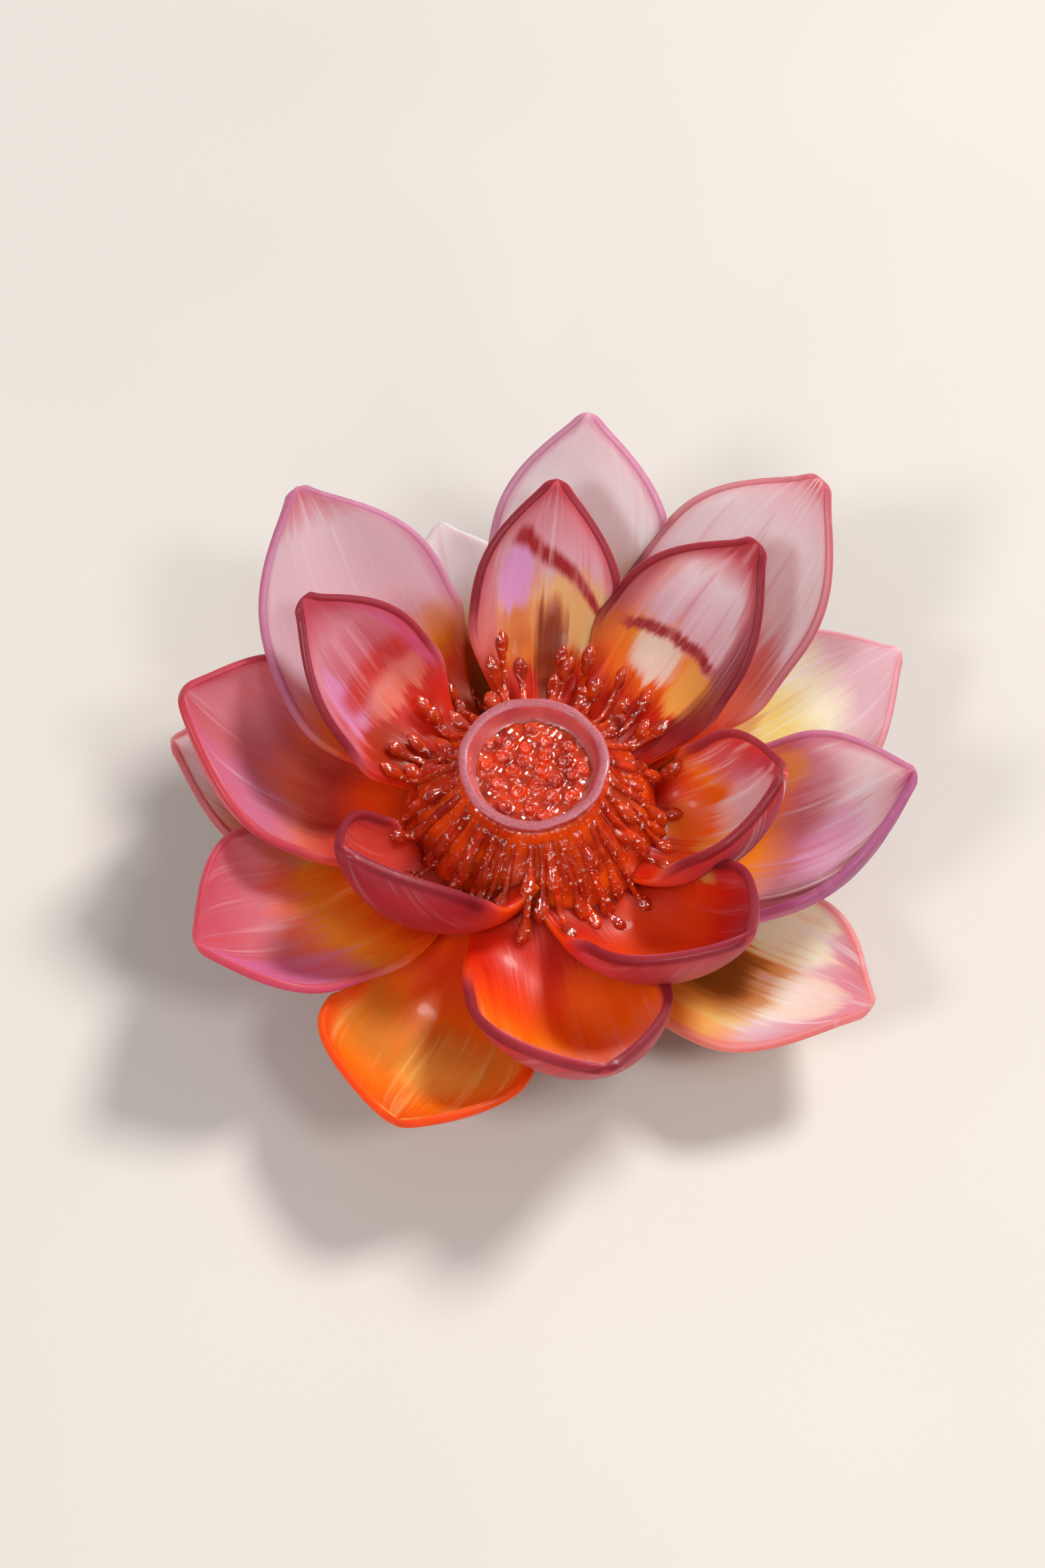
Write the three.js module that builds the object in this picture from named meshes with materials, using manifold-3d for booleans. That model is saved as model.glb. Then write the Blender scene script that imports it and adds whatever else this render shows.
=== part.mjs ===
// A lotus flower of cast glass, open and standing on its own foot, in millimetres with +Z up.
// The origin is the middle of the foot's flat underside, on the surface that the flower stands on.
import * as THREE from "three";
import Module from "manifold-3d";

const wasm = await Module();
wasm.setup();

// ---- Driving dimensions ----------------------------------------------------------------------

const GAP = 0.3; // between pieces that touch
const CUP_RIM_RADIUS = 24.3;
const CUP_RIM_HEIGHT = 66;
const CUP_RIM_WIDTH = 3;
const CUP_DEPTH = 6;
const CUP_FLOOR_RADIUS = 18.4;
const CUP_EDGE = 0.8; // how far the rim is rounded down on its outside
const CUP_FILLET = 1.1; // between the floor of the cup and its wall
const SEED_COUNT = 24;
const SEED_RADIUS = 2.6;
const SEED_HEIGHT = 1.3;
const SEED_SINK = 0.6; // how deep a seed sits in the floor of the cup
const SEED_SIDES = 6;
const FOOT_RADIUS = 30;
const HEART_TOP = 41; // where the heart carries the seed cup
const PETAL_ROOT_THICKNESS = 8;
const PETAL_THICKNESS = 5; // half way along
const PETAL_RIM_THICKNESS = 3.4;
const RIM_BEAD = 0.35; // how far a rim is rounded out, as a share of its thickness
const RIB_PULL = 0.42; // how far the ends of a midrib hold their direction, as a share of its length
const ROOT_SHARE = 0.34; // a petal's width at its root, as a share of its full width
const ROOT_GROWTH = 1.8; // above 1 keeps a petal narrow for longer above its root
const ROOT_DEPTH = 7; // how far a root runs on into the heart
const ROOT_CUP = 0.3; // how far a petal is cupped at its root, as a share of its full cup
const TIP_CUP = 0.6;
const SWELL = 6; // how far the glass stands up along the middle of the root
const SWELL_END = 0.48; // the share of the length at which that has run out
const SWELL_FALL = 1.6; // above 1 lets it fall away early
const TIP_POINT = 1.2; // above 1 draws the tip out to a point
const TIP_RADIUS = 2.6; // to which the point is rounded
const TIP_BLEND = 3; // how sharply the sides turn into the rounded tip
const TIP_HALF = 1.5; // half the width at the very end
const STATIONS = 9; // cross-sections along a petal, after its root
const STATION_CROWDING = 1.4; // above 1 brings them closer together towards the tip
const FACE_POINTS = 6; // points across each face of a petal
const ROUND_SIDES = 36; // of the pieces that are turned round the axis
const STAMEN_ROWS = [
  { count: 26, reach: 41, spread: 5 },
  { count: 28, reach: 48, spread: 5 },
];
const STAMEN_FROM = 24.5; // the radius at which they leave the seed cup
const STAMEN_BEND = 32; // the radius at which they turn with the skirt
const STAMEN_LEAN = 7; // how much further they reach on the flower's tall side, +Y
const STAMEN_LIFT = 10; // how far their heads stand up there
const STAMEN_RADIUS = 1.2;
const ANTHER_RADIUS = 2;
const ANTHER_LENGTH = 6.5;
const STAMEN_SINK = 0.6; // how deep a stamen lies in the skirt that it grows from
const STAMEN_SEAT = 0.8; // the share of its thickness that stands clear of a petal under it
const STAMEN_WANDER = 0.4; // of the spacing, by which each one strays sideways
const STEEPEST_FALL = 0.8; // of a stamen over a gap between petals
const STAMEN_FACES = 66; // the radius within which the petals under them are looked for

// Each petal: its direction, the radius and height of its root and of its tip, its width, and
// the angle above level at which its midrib leaves the root and reaches the tip. "cup" is half
// the angle that its cross-section turns through, "bow" pushes its middle sideways, "tilt" its
// tip, "lop" widens its left half as seen from the axis, and "full" squares its shoulders.
// "share", "growth", "rootCup", "swell" and "blunt" stand in for the petal's ROOT_SHARE,
// ROOT_GROWTH, ROOT_CUP, SWELL and TIP_RADIUS. A pair gives the right half, then the left.
// Where two petals meet, the one that is listed first keeps its shape and the other gives way.
const PETALS = {
  inner_petal_3: {
    at: -8, root: [24, 25], tip: [78, 80], width: 63, rise: [-25, 95], cup: 85, full: 2.1, blunt: 5.5,
    swell: 20, share: [0.6, 0.34], rootCup: [0.6, 0.3],
  },
  inner_petal_4: {
    at: -47, root: [24, 23], tip: [94, 82], width: 71, rise: [-25, 80], cup: 85, lop: -0.1, full: 2.1,
    swell: 20, share: [0.75, 0.34], rootCup: [0.8, 0.3],
  },
  inner_petal_2: {
    at: 42, root: [24, 32], tip: [98, 94], width: 61, rise: [0, 65], cup: 55, bow: 4, blunt: 4, swell: 10,
  },
  inner_petal_6: {
    at: -138, root: [24, 27], tip: [70, 84], width: 62, rise: [-15, 90], cup: 85, tilt: -9, lop: 0.1,
    full: 2, growth: 1.3, blunt: 6, swell: 16, share: [0.34, 0.95], rootCup: [0.3, 0.85],
  },
  inner_petal_5: {
    at: -79, root: [24, 24], tip: [110, 73], width: 77, rise: [-18, 75], cup: 75, lop: -0.12, full: 2.4,
    blunt: 10, swell: 20, share: 0.6,
  },
  inner_petal_1: {
    at: 85, root: [24, 32], tip: [91, 94], width: 56, rise: [0, 70], cup: 60, lop: -0.05, bow: 2, swell: 10,
  },
  inner_petal_7: {
    at: 149, root: [24, 32], tip: [86, 94], width: 56, rise: [0, 65], cup: 60, blunt: 3.5, swell: 10,
  },
  middle_petal_2: {
    at: 43, root: [26, 22], tip: [129, 98], width: 73, rise: [0, 60], cup: 50, bow: 3, full: 2.2,
    blunt: 5, growth: 3.2,
  },
  middle_petal_1: {
    at: 81, root: [26, 22], tip: [118, 96], width: 66, rise: [0, 60], cup: 50, lop: -0.06, bow: -1,
    full: 2.2,
  },
  middle_petal_6: {
    at: 132, root: [26, 22], tip: [115, 97], width: 76, rise: [0, 60], cup: 50, bow: 7, full: 2.2,
    blunt: 4,
  },
  middle_petal_5: {
    at: 171, root: [26, 20], tip: [113, 79], width: 79, rise: [-5, 70], cup: 65, lop: 0.1, full: 2.3,
    blunt: 9,
  },
  middle_petal_4: {
    at: -149, root: [26, 20], tip: [122, 63], width: 70, rise: [-5, 50], cup: 55, lop: -0.1, full: 2.6,
  },
  middle_petal_3: {
    at: -4, root: [26, 20], tip: [121, 75], width: 81, rise: [-12, 65], cup: 68, lop: -0.12, bow: -6,
    full: 2.1,
  },
  lower_petal_4: {
    at: -105, root: [28, 14], tip: [122, 48], width: 71, rise: [-5, 50], cup: 60, lop: -0.1, tilt: -10,
    bow: -2, full: 3.2, blunt: 24, swell: 15,
  },
  lower_petal_3: {
    at: -35, root: [28, 14], tip: [130, 42], width: 68, rise: [-5, 35], cup: 40, lop: -0.14, full: 2.2,
    blunt: 5,
  },
  lower_petal_2: {
    at: 24, root: [28, 14], tip: [136, 46], width: 67, rise: [-5, 35], cup: 35, lop: -0.1, full: 2.2,
  },
  lower_petal_6: { at: 107, root: [28, 14], tip: [109, 50], width: 63, rise: [-5, 35], cup: 40, full: 1.8 },
  lower_petal_1: { at: 66, root: [28, 14], tip: [117, 44], width: 63, rise: [-5, 35], cup: 38, full: 2.2 },
  lower_petal_5: { at: 171, root: [28, 14], tip: [121, 48], width: 67, rise: [-5, 35], cup: 40, full: 2.1 },
};

const COLOURS = {
  inner: 0xb5475a,
  middle: 0xc97f92,
  lower: 0xd98a62,
  heart: 0xe8631c,
  stamens: 0xc8300f,
  cup: 0xc23a2c,
};

// ---- Solids ----------------------------------------------------------------------------------

// A closed solid from its points and its triangles.
function solid(points, triangles) {
  const mesh = new wasm.Mesh({
    numProp: 3,
    vertProperties: new Float32Array(points.flat()),
    triVerts: new Uint32Array(triangles.flat()),
  });
  return new wasm.Manifold(mesh);
}

// The largest body of a solid: a scrap that a cut leaves, or a hollow that a join seals, is dropped.
function whole(made) {
  const bodies = made.decompose();
  return bodies.reduce((best, body) => (body.volume() > best.volume() ? body : best));
}

// A solid turned round the axis, whose profile [radius, height] runs upwards from axis to axis.
function turned(profile, sides = ROUND_SIDES) {
  const [bottom, ...rest] = profile;
  const rings = rest.slice(0, -1);
  const top = rest[rest.length - 1];
  const points = [[0, 0, bottom[1]]];
  for (const [radius, height] of rings) {
    for (let i = 0; i < sides; i += 1) {
      const turn = (2 * Math.PI * i) / sides;
      points.push([radius * Math.cos(turn), radius * Math.sin(turn), height]);
    }
  }
  points.push([0, 0, top[1]]);
  const topPoint = points.length - 1;
  const lastRing = 1 + (rings.length - 1) * sides;
  const triangles = [];
  for (let i = 0; i < sides; i += 1) {
    const next = (i + 1) % sides;
    triangles.push([0, 1 + next, 1 + i]);
    triangles.push([topPoint, lastRing + i, lastRing + next]);
    for (let ring = 0; ring < rings.length - 1; ring += 1) {
      const low = 1 + ring * sides;
      const high = low + sides;
      triangles.push([low + i, low + next, high + next]);
      triangles.push([low + i, high + next, high + i]);
    }
  }
  return solid(points, triangles);
}

// The triangles that close a ring: strips between its points paired across from its first one, so
// that a ring as bent as a petal's cross-section is closed without folding.
function ringCap(size) {
  const triangles = [[1, 0, size - 1]];
  for (let i = 1; i < size / 2; i += 1) {
    const across = size - i;
    triangles.push([i + 1, i, across]);
    if (i + 1 < across - 1) triangles.push([i + 1, across, across - 1]);
  }
  return triangles;
}

// A solid through closed rings of equal length.
function lofted(rings) {
  const size = rings[0].length;
  const cap = ringCap(size);
  const last = (rings.length - 1) * size;
  const triangles = [...cap, ...cap.map(([a, b, c]) => [last + a, last + c, last + b])];
  for (let low = 0; low < last; low += size) {
    const high = low + size;
    for (let i = 0; i < size; i += 1) {
      const next = (i + 1) % size;
      triangles.push([low + i, low + next, high + next]);
      triangles.push([low + i, high + next, high + i]);
    }
  }
  return solid(rings.flat(), triangles);
}

// ---- Petals ----------------------------------------------------------------------------------

const radians = THREE.MathUtils.degToRad;
const AXIS = new THREE.Vector3(0, 0, 1);

// The midrib of a petal as a curve in the upright plane of its direction.
function midrib(petal) {
  const root = new THREE.Vector3(petal.root[0], 0, petal.root[1]);
  const tip = new THREE.Vector3(petal.tip[0], 0, petal.tip[1]);
  const pull = RIB_PULL * root.distanceTo(tip);
  const [out, in_] = petal.rise.map(radians);
  const afterRoot = new THREE.Vector3(Math.cos(out), 0, Math.sin(out)).multiplyScalar(pull).add(root);
  const beforeTip = new THREE.Vector3(Math.cos(in_), 0, Math.sin(in_)).multiplyScalar(-pull).add(tip);
  return new THREE.CubicBezierCurve3(root, afterRoot, beforeTip, tip);
}

// The point of the midrib at a share s of its length, with the sideways bow and tilt.
function ribPoint(petal, curve, s) {
  const { bow = 0, tilt = 0 } = petal;
  const point = curve.getPoint(s);
  point.y = bow * Math.sin(Math.PI * s) + tilt * s * s;
  return point;
}

// One value of a petal for its right half (t below 0) and its left half.
function sideValue(value, t) {
  if (!Array.isArray(value)) return value;
  const [right, left] = value;
  return t > 0 ? left : right;
}

// Half the width of a petal at a share s of its length, on the side of t.
function halfWidth(petal, s, t) {
  const { full = 1.7, growth = ROOT_GROWTH, share = ROOT_SHARE, blunt = TIP_RADIUS } = petal;
  const atRoot = sideValue(share, t);
  const level = s < 0.5
    ? atRoot + (1 - atRoot) * Math.sin(Math.PI * s) ** growth
    : Math.cos((Math.PI / 2) * (2 * s - 1) ** full) ** TIP_POINT;
  const half = (level * petal.width) / 2;
  const length = Math.hypot(petal.tip[0] - petal.root[0], petal.tip[1] - petal.root[1]);
  const toTip = Math.min(((1 - s) * length) / blunt, 1);
  const rounded = s < 0.5 ? 0 : blunt * Math.sqrt(1 - (1 - toTip) ** 2);
  return Math.max(Math.cbrt(half ** TIP_BLEND + rounded ** TIP_BLEND), TIP_HALF);
}

// Half the angle of the cross-section: flatter towards the root and the tip.
function cupAngle(petal, s, t) {
  const { rootCup = ROOT_CUP } = petal;
  const atRoot = sideValue(rootCup, t);
  const share = s < 0.5
    ? atRoot + (1 - atRoot) * Math.sin(Math.PI * s) ** ROOT_GROWTH
    : 1 - (1 - TIP_CUP) * (2 * s - 1) ** 2;
  return radians(petal.cup * share);
}

// How far the inner face of a petal stands up, so that the roots run together in the middle.
function swellAt(petal, s, t) {
  const { swell = SWELL } = petal;
  return swell * Math.max(1 - s / SWELL_END, 0) ** SWELL_FALL * (1 - t * t);
}

function thicknessAt(s) {
  return s < 0.5
    ? THREE.MathUtils.lerp(PETAL_ROOT_THICKNESS, PETAL_THICKNESS, 2 * s)
    : THREE.MathUtils.lerp(PETAL_THICKNESS, PETAL_RIM_THICKNESS, 2 * s - 1);
}

// One closed cross-section of a petal: the left rim, the inner face from left to right, the right
// rim, and the outer face from right to left. "grow" makes it larger all round.
function petalRing(petal, curve, s, grow, along = 0) {
  const { lop = 0, at } = petal;
  const step = 0.005; // along the midrib, over which its direction is taken
  const rib = ribPoint(petal, curve, s);
  const ahead = ribPoint(petal, curve, Math.min(s + step, 1));
  const behind = ribPoint(petal, curve, Math.max(s - step, 0));
  const forward = ahead.sub(behind).normalize();
  const side = new THREE.Vector3(0, 1, 0).addScaledVector(forward, -forward.y).normalize();
  const inward = forward.clone().cross(side);
  const thickness = thicknessAt(s);
  const rimThickness = Math.min(PETAL_RIM_THICKNESS, thickness);
  const place = (t, depth, outside = 0) => {
    const cup = cupAngle(petal, s, t);
    const turn = cup * t;
    const radius = (halfWidth(petal, s, t) * (1 + Math.sign(t) * lop)) / cup;
    const across = radius * Math.sin(turn);
    const up = radius * (1 - Math.cos(turn));
    return rib
      .clone()
      .addScaledVector(forward, along)
      .addScaledVector(side, across + Math.sin(turn) * depth + Math.cos(turn) * outside)
      .addScaledVector(inward, up - Math.cos(turn) * depth + Math.sin(turn) * outside)
      .applyAxisAngle(AXIS, radians(at))
      .toArray();
  };
  const shares = Array.from({ length: FACE_POINTS }, (_, i) => 1 - (2 * i) / (FACE_POINTS - 1));
  const innerFace = shares.map((t) => place(t, -grow - swellAt(petal, s, t)));
  const depthAt = (t) => THREE.MathUtils.lerp(thickness, rimThickness, t * t);
  const outerFace = shares.map((t) => place(t, depthAt(t) + grow)).reverse();
  const bead = RIM_BEAD * rimThickness + grow;
  const leftRim = place(1, rimThickness / 2, bead);
  const rightRim = place(-1, rimThickness / 2, -bead);
  return [leftRim, ...innerFace, rightRim, ...outerFace];
}

function petalSolid(petal, grow = 0) {
  const curve = midrib(petal);
  const rings = [petalRing(petal, curve, 0, grow, -ROOT_DEPTH - grow)];
  for (let i = 0; i <= STATIONS; i += 1) {
    const s = 1 - (1 - i / STATIONS) ** STATION_CROWDING;
    rings.push(petalRing(petal, curve, s, grow, i === STATIONS ? grow : 0));
  }
  return lofted(rings);
}

// ---- The flower's middle ---------------------------------------------------------------------

// The heart carries the petals, the stamens and the seed cup, and stands on a flat foot.
function heartSolid(grow = 0) {
  return turned([
    [0, -grow],
    [FOOT_RADIUS - 2 + grow, -grow],
    [FOOT_RADIUS + grow, 3],
    [27 + grow, 10],
    [26 + grow, 24],
    [22 + grow, 36],
    [18 + grow, HEART_TOP + grow],
    [0, HEART_TOP + grow],
  ]);
}

// The outer wall of the seed cup, which widens from its seat on the heart to its rim.
const CUP_WALL = [
  [17, HEART_TOP + GAP],
  [18, 46],
  [21, 56],
  [CUP_RIM_RADIUS, CUP_RIM_HEIGHT - CUP_EDGE],
  [CUP_RIM_RADIUS - CUP_EDGE / 2, CUP_RIM_HEIGHT],
];

// The room that the seed cup takes in the glass round it.
function cupRoom() {
  const wall = CUP_WALL.slice(0, 4).map(([radius, height]) => [radius + GAP, height]);
  const [[seat, low], , , [, high]] = wall;
  return turned([[0, low - GAP], [seat, low - GAP], ...wall, [0, high]]);
}

function cupSolid() {
  const floor = CUP_RIM_HEIGHT - CUP_DEPTH;
  const bowl = turned([
    [0, HEART_TOP + GAP],
    ...CUP_WALL,
    [CUP_RIM_RADIUS - CUP_RIM_WIDTH, CUP_RIM_HEIGHT],
    [CUP_FLOOR_RADIUS + CUP_FILLET, floor + CUP_FILLET],
    [CUP_FLOOR_RADIUS - CUP_FILLET, floor],
    [0, floor],
  ]);
  return wasm.Manifold.union([bowl, ...seeds(floor)]);
}

// Each seed is a low ring with a pit in its middle. They lie in a spiral, as in a seed head.
function seeds(floor) {
  const goldenTurn = Math.PI * (3 - Math.sqrt(5));
  const made = [];
  for (let i = 0; i < SEED_COUNT; i += 1) {
    const radius = (CUP_FLOOR_RADIUS - SEED_RADIUS / 2) * Math.sqrt((i + 0.4) / SEED_COUNT);
    const turn = i * goldenTurn;
    made.push(seed(radius * Math.cos(turn), radius * Math.sin(turn), floor));
  }
  return made;
}

function seed(x, y, floor) {
  const profile = [
    [SEED_RADIUS, -SEED_SINK],
    [0.5 * SEED_RADIUS, SEED_HEIGHT],
    [0.2 * SEED_RADIUS, 0.4 * SEED_HEIGHT],
  ];
  const rings = profile.map(([radius, height]) =>
    Array.from({ length: SEED_SIDES }, (_, i) => {
      const turn = (2 * Math.PI * i) / SEED_SIDES;
      return [x + radius * Math.cos(turn), y + radius * Math.sin(turn), floor + height];
    }),
  );
  return lofted(rings);
}

// ---- Stamens ---------------------------------------------------------------------------------

// A repeatable run of numbers between 0 and 1.
function randomRun(seedNumber) {
  let state = seedNumber;
  return () => {
    state = (state * 16807) % 2147483647;
    return state / 2147483647;
  };
}

// The skirt of glass that falls from the seed cup to the petals, and that the stamens grow from.
const SKIRT_SIDES = 24;
const SKIRT_BOTTOM = 31; // among the roots of the inner petals
const SKIRT_FOOT = 39;
const SKIRT_PROFILE = [
  [23, 59],
  [27, 50.7],
  [34, 42.8],
  [38, 38.4],
  [40.5, 34.5],
];

function skirtHeight(radius) {
  for (let i = 1; i < SKIRT_PROFILE.length; i += 1) {
    const [r0, z0] = SKIRT_PROFILE[i - 1];
    const [r1, z1] = SKIRT_PROFILE[i];
    if (radius <= r1) return THREE.MathUtils.mapLinear(radius, r0, r1, z0, z1);
  }
  return -Infinity;
}

function skirtSolid() {
  return turned(
    [
      [0, SKIRT_BOTTOM],
      [SKIRT_FOOT, SKIRT_BOTTOM],
      ...SKIRT_PROFILE.toReversed(),
      [0, SKIRT_PROFILE[0][1]],
    ],
    SKIRT_SIDES,
  );
}

// The height of the uppermost petal face over a place, from the petals' own triangles.
function petalTop(x, y, faces) {
  let top = -Infinity;
  for (const [a, b, c] of faces) {
    const area = (b[0] - a[0]) * (c[1] - a[1]) - (c[0] - a[0]) * (b[1] - a[1]);
    if (Math.abs(area) < 1e-6) continue;
    const v = ((x - a[0]) * (c[1] - a[1]) - (c[0] - a[0]) * (y - a[1])) / area;
    const w = ((b[0] - a[0]) * (y - a[1]) - (x - a[0]) * (b[1] - a[1])) / area;
    if (v < 0 || w < 0 || v + w > 1) continue;
    top = Math.max(top, a[2] + v * (b[2] - a[2]) + w * (c[2] - a[2]));
  }
  return top;
}

// The triangles of a solid that lie within the stamens' reach.
function facesNear(made, reach) {
  const { vertProperties, triVerts } = made.getMesh();
  const point = (i) => Array.from(vertProperties.subarray(3 * i, 3 * i + 3));
  const faces = [];
  for (let i = 0; i < triVerts.length; i += 3) {
    const corners = [point(triVerts[i]), point(triVerts[i + 1]), point(triVerts[i + 2])];
    if (corners.some(([x, y]) => Math.hypot(x, y) < reach)) faces.push(corners);
  }
  return faces;
}

// One stamen: a four-sided filament through its points, ending in a thicker anther.
function stamenSolid(path, turn) {
  const side = new THREE.Vector3(-Math.sin(turn), Math.cos(turn), 0);
  const rings = path.map(({ radius, height, thick }, i) => {
    const before = path[Math.max(i - 1, 0)];
    const after = path[Math.min(i + 1, path.length - 1)];
    const slope = Math.atan2(after.height - before.height, after.radius - before.radius);
    const up = new THREE.Vector3(-Math.sin(slope), 0, Math.cos(slope)).applyAxisAngle(AXIS, turn);
    const middle = new THREE.Vector3(radius * Math.cos(turn), radius * Math.sin(turn), height);
    return [0, 1, 2, 3].map((corner) => {
      const angle = (Math.PI / 2) * corner;
      return middle
        .clone()
        .addScaledVector(side, thick * Math.cos(angle))
        .addScaledVector(up, thick * Math.sin(angle))
        .toArray();
    });
  });
  return lofted(rings);
}

function stamenPath(turn, reach, faces) {
  const steps = [
    { radius: STAMEN_FROM, thick: STAMEN_RADIUS },
    { radius: STAMEN_BEND, thick: STAMEN_RADIUS },
    { radius: reach - ANTHER_LENGTH, thick: STAMEN_RADIUS },
    { radius: reach - ANTHER_LENGTH / 2, thick: ANTHER_RADIUS },
    { radius: reach, thick: 0.5 * ANTHER_RADIUS },
  ];
  const path = [];
  for (const { radius, thick } of steps) {
    const onPetal = [-1, 0, 1].map((share) => {
      const angle = turn + (share * thick) / radius;
      const top = petalTop(radius * Math.cos(angle), radius * Math.sin(angle), faces);
      return top + GAP + STAMEN_SEAT * thick;
    });
    const onSkirt = skirtHeight(radius) + thick - STAMEN_SINK;
    const before = path[path.length - 1];
    const lowest = before ? before.height - STEEPEST_FALL * (radius - before.radius) : onSkirt;
    path.push({ radius, thick, height: Math.max(lowest, onSkirt, ...onPetal) });
  }
  return path.map((point) => ({ ...point, height: point.height + liftAt(point.radius, turn, reach) }));
}

// How far a stamen stands up off the petals on the flower's tall side.
function liftAt(radius, turn, reach) {
  const share = Math.max((radius - STAMEN_BEND) / (reach - STAMEN_BEND), 0);
  return STAMEN_LIFT * Math.max(Math.sin(turn), 0) * share;
}

function stamens(petalSolids) {
  const random = randomRun(11);
  const faces = petalSolids.flatMap((made) => facesNear(made, STAMEN_FACES));
  const made = [];
  for (const { count, reach, spread } of STAMEN_ROWS) {
    const start = random();
    for (let i = 0; i < count; i += 1) {
      const turn = ((i + start + STAMEN_WANDER * (random() - 0.5)) * 2 * Math.PI) / count;
      const longer = STAMEN_LEAN * Math.max(Math.sin(turn), 0);
      const path = stamenPath(turn, reach + longer + spread * (random() - 0.5), faces);
      made.push(stamenSolid(path, turn));
    }
  }
  return made;
}

// ---- The whole flower ------------------------------------------------------------------------

function buildSolids() {
  const made = { heart: heartSolid() };
  const middleRoom = wasm.Manifold.union([heartSolid(GAP), cupRoom()]);
  const rooms = [middleRoom];
  for (const [name, petal] of Object.entries(PETALS)) {
    made[name] = whole(petalSolid(petal).subtract(wasm.Manifold.union(rooms)));
    rooms.push(petalSolid(petal, GAP));
  }
  const petalSolids = Object.keys(PETALS).map((name) => made[name]);
  const grown = wasm.Manifold.union([skirtSolid(), ...stamens(petalSolids)]);
  made.stamens = whole(grown.subtract(wasm.Manifold.union(rooms)));
  made.seed_cup = cupSolid();
  return made;
}

function meshOf(name, made) {
  const { vertProperties, triVerts } = made.getMesh();
  const geometry = new THREE.BufferGeometry();
  geometry.setAttribute("position", new THREE.BufferAttribute(vertProperties, 3));
  geometry.setIndex(new THREE.BufferAttribute(triVerts, 1));
  geometry.computeVertexNormals();
  const kind = Object.keys(COLOURS).find((word) => name.includes(word));
  const glossy = ["stamens", "seed_cup"].includes(name);
  const material = new THREE.MeshStandardMaterial({
    color: COLOURS[kind],
    roughness: glossy ? 0.12 : 0.35,
    metalness: 0,
  });
  const mesh = new THREE.Mesh(geometry, material);
  mesh.name = name;
  return mesh;
}

const flower = new THREE.Group();
for (const [name, made] of Object.entries(buildSolids())) flower.add(meshOf(name, made));

export default flower;
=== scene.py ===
"""The looks of a cast glass lotus flower: smooth frosted petals, glossy stamens and seed cup."""

import math
import random

import bpy
import numpy as np
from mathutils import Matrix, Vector
from mathutils.bvhtree import BVHTree


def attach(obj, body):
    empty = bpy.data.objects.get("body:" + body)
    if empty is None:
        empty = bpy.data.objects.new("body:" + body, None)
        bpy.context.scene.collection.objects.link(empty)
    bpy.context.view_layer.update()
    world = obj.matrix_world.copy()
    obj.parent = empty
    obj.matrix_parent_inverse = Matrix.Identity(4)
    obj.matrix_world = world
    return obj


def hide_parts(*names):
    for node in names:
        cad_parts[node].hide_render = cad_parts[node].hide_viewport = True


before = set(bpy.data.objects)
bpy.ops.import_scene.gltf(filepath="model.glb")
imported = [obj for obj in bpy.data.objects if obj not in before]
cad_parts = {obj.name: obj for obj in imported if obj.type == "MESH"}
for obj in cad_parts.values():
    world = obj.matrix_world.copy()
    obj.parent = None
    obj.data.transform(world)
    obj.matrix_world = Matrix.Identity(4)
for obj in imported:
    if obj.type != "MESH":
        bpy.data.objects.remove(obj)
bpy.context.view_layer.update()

MM = 0.001

# ---- Camera, in millimetres ------------------------------------------------------------------

CAMERA_DISTANCE = 840
CAMERA_ELEVATION = math.radians(61)
CAMERA_ASIDE = -3.43
CAMERA_UP = -7.07
CUP_RIM_HEIGHT = 66
LENS = 60
SENSOR_WIDTH = 36
CLIP_METRES = (0.05, 20)

camera = bpy.data.objects.new("camera", bpy.data.cameras.new("camera"))
bpy.context.scene.collection.objects.link(camera)
camera.data.lens = LENS
camera.data.sensor_width = SENSOR_WIDTH
camera.data.clip_start, camera.data.clip_end = CLIP_METRES
back = Vector((0, -math.cos(CAMERA_ELEVATION), math.sin(CAMERA_ELEVATION)))
up = Vector((0, math.sin(CAMERA_ELEVATION), math.cos(CAMERA_ELEVATION)))
camera.location = (
    Vector((CAMERA_ASIDE, 0, CUP_RIM_HEIGHT)) + back * CAMERA_DISTANCE + up * CAMERA_UP
) * MM
camera.rotation_euler = (math.pi / 2 - CAMERA_ELEVATION, 0, 0)
bpy.context.scene.camera = camera
bpy.context.scene.view_settings.view_transform = "Standard"

# ---- Petal shapes, in millimetres ------------------------------------------------------------

# Thickness of the glass at the root, halfway along, and at the rim and the tip.
ROOT_THICKNESS = 8
THICKNESS = 5
RIM_THICKNESS = 2.8
# The glass is thinner where half the width is under RIM_FADE, down to this share.
RIM_FADE = 3.2
LEAST_TAPER = 0.2
# How far a rim rounds outwards, as a share of its thickness. It is less on narrow parts.
RIM_ROUND = 0.35
FULL_ROUND_HALF = 8
LEAST_ROUND = 0.25
# Width and cup at the root as shares of the greatest, which a petal has halfway along, how they
# grow up to there, and how much of the cup is lost at the tip.
ROOT_SHARE = 0.34
ROOT_CUP = 0.3
ROOT_GROWTH = 1.8
CUP_FALL = 0.4
# How far the root goes on into the heart.
ROOT_DEPTH = 7
# Extra glass on the inner face near the root.
SWELL = 6
SWELL_END = 0.48
SWELL_FALL = 1.6
# The narrowing to the tip, its rounded end, and the small dome that closes the shell.
FULL = 1.7
TIP_POINT = 1.2
TIP_RADIUS = 2.6
TIP_FROM = 0.5
TIP_FADE = 0.2
TIP_SHARP = 3
TIP_HALF = 0.7
TIP_DOME = 0.5
DOME_ANGLES = (35, 62, 82)
DOME_SHARES = (0.6, 0.3, 0.1)
# Pull of the midrib's handles, and its length over the straight distance between its ends.
RIB_PULL = 0.42
RIB_STRETCH = 1.15
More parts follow.
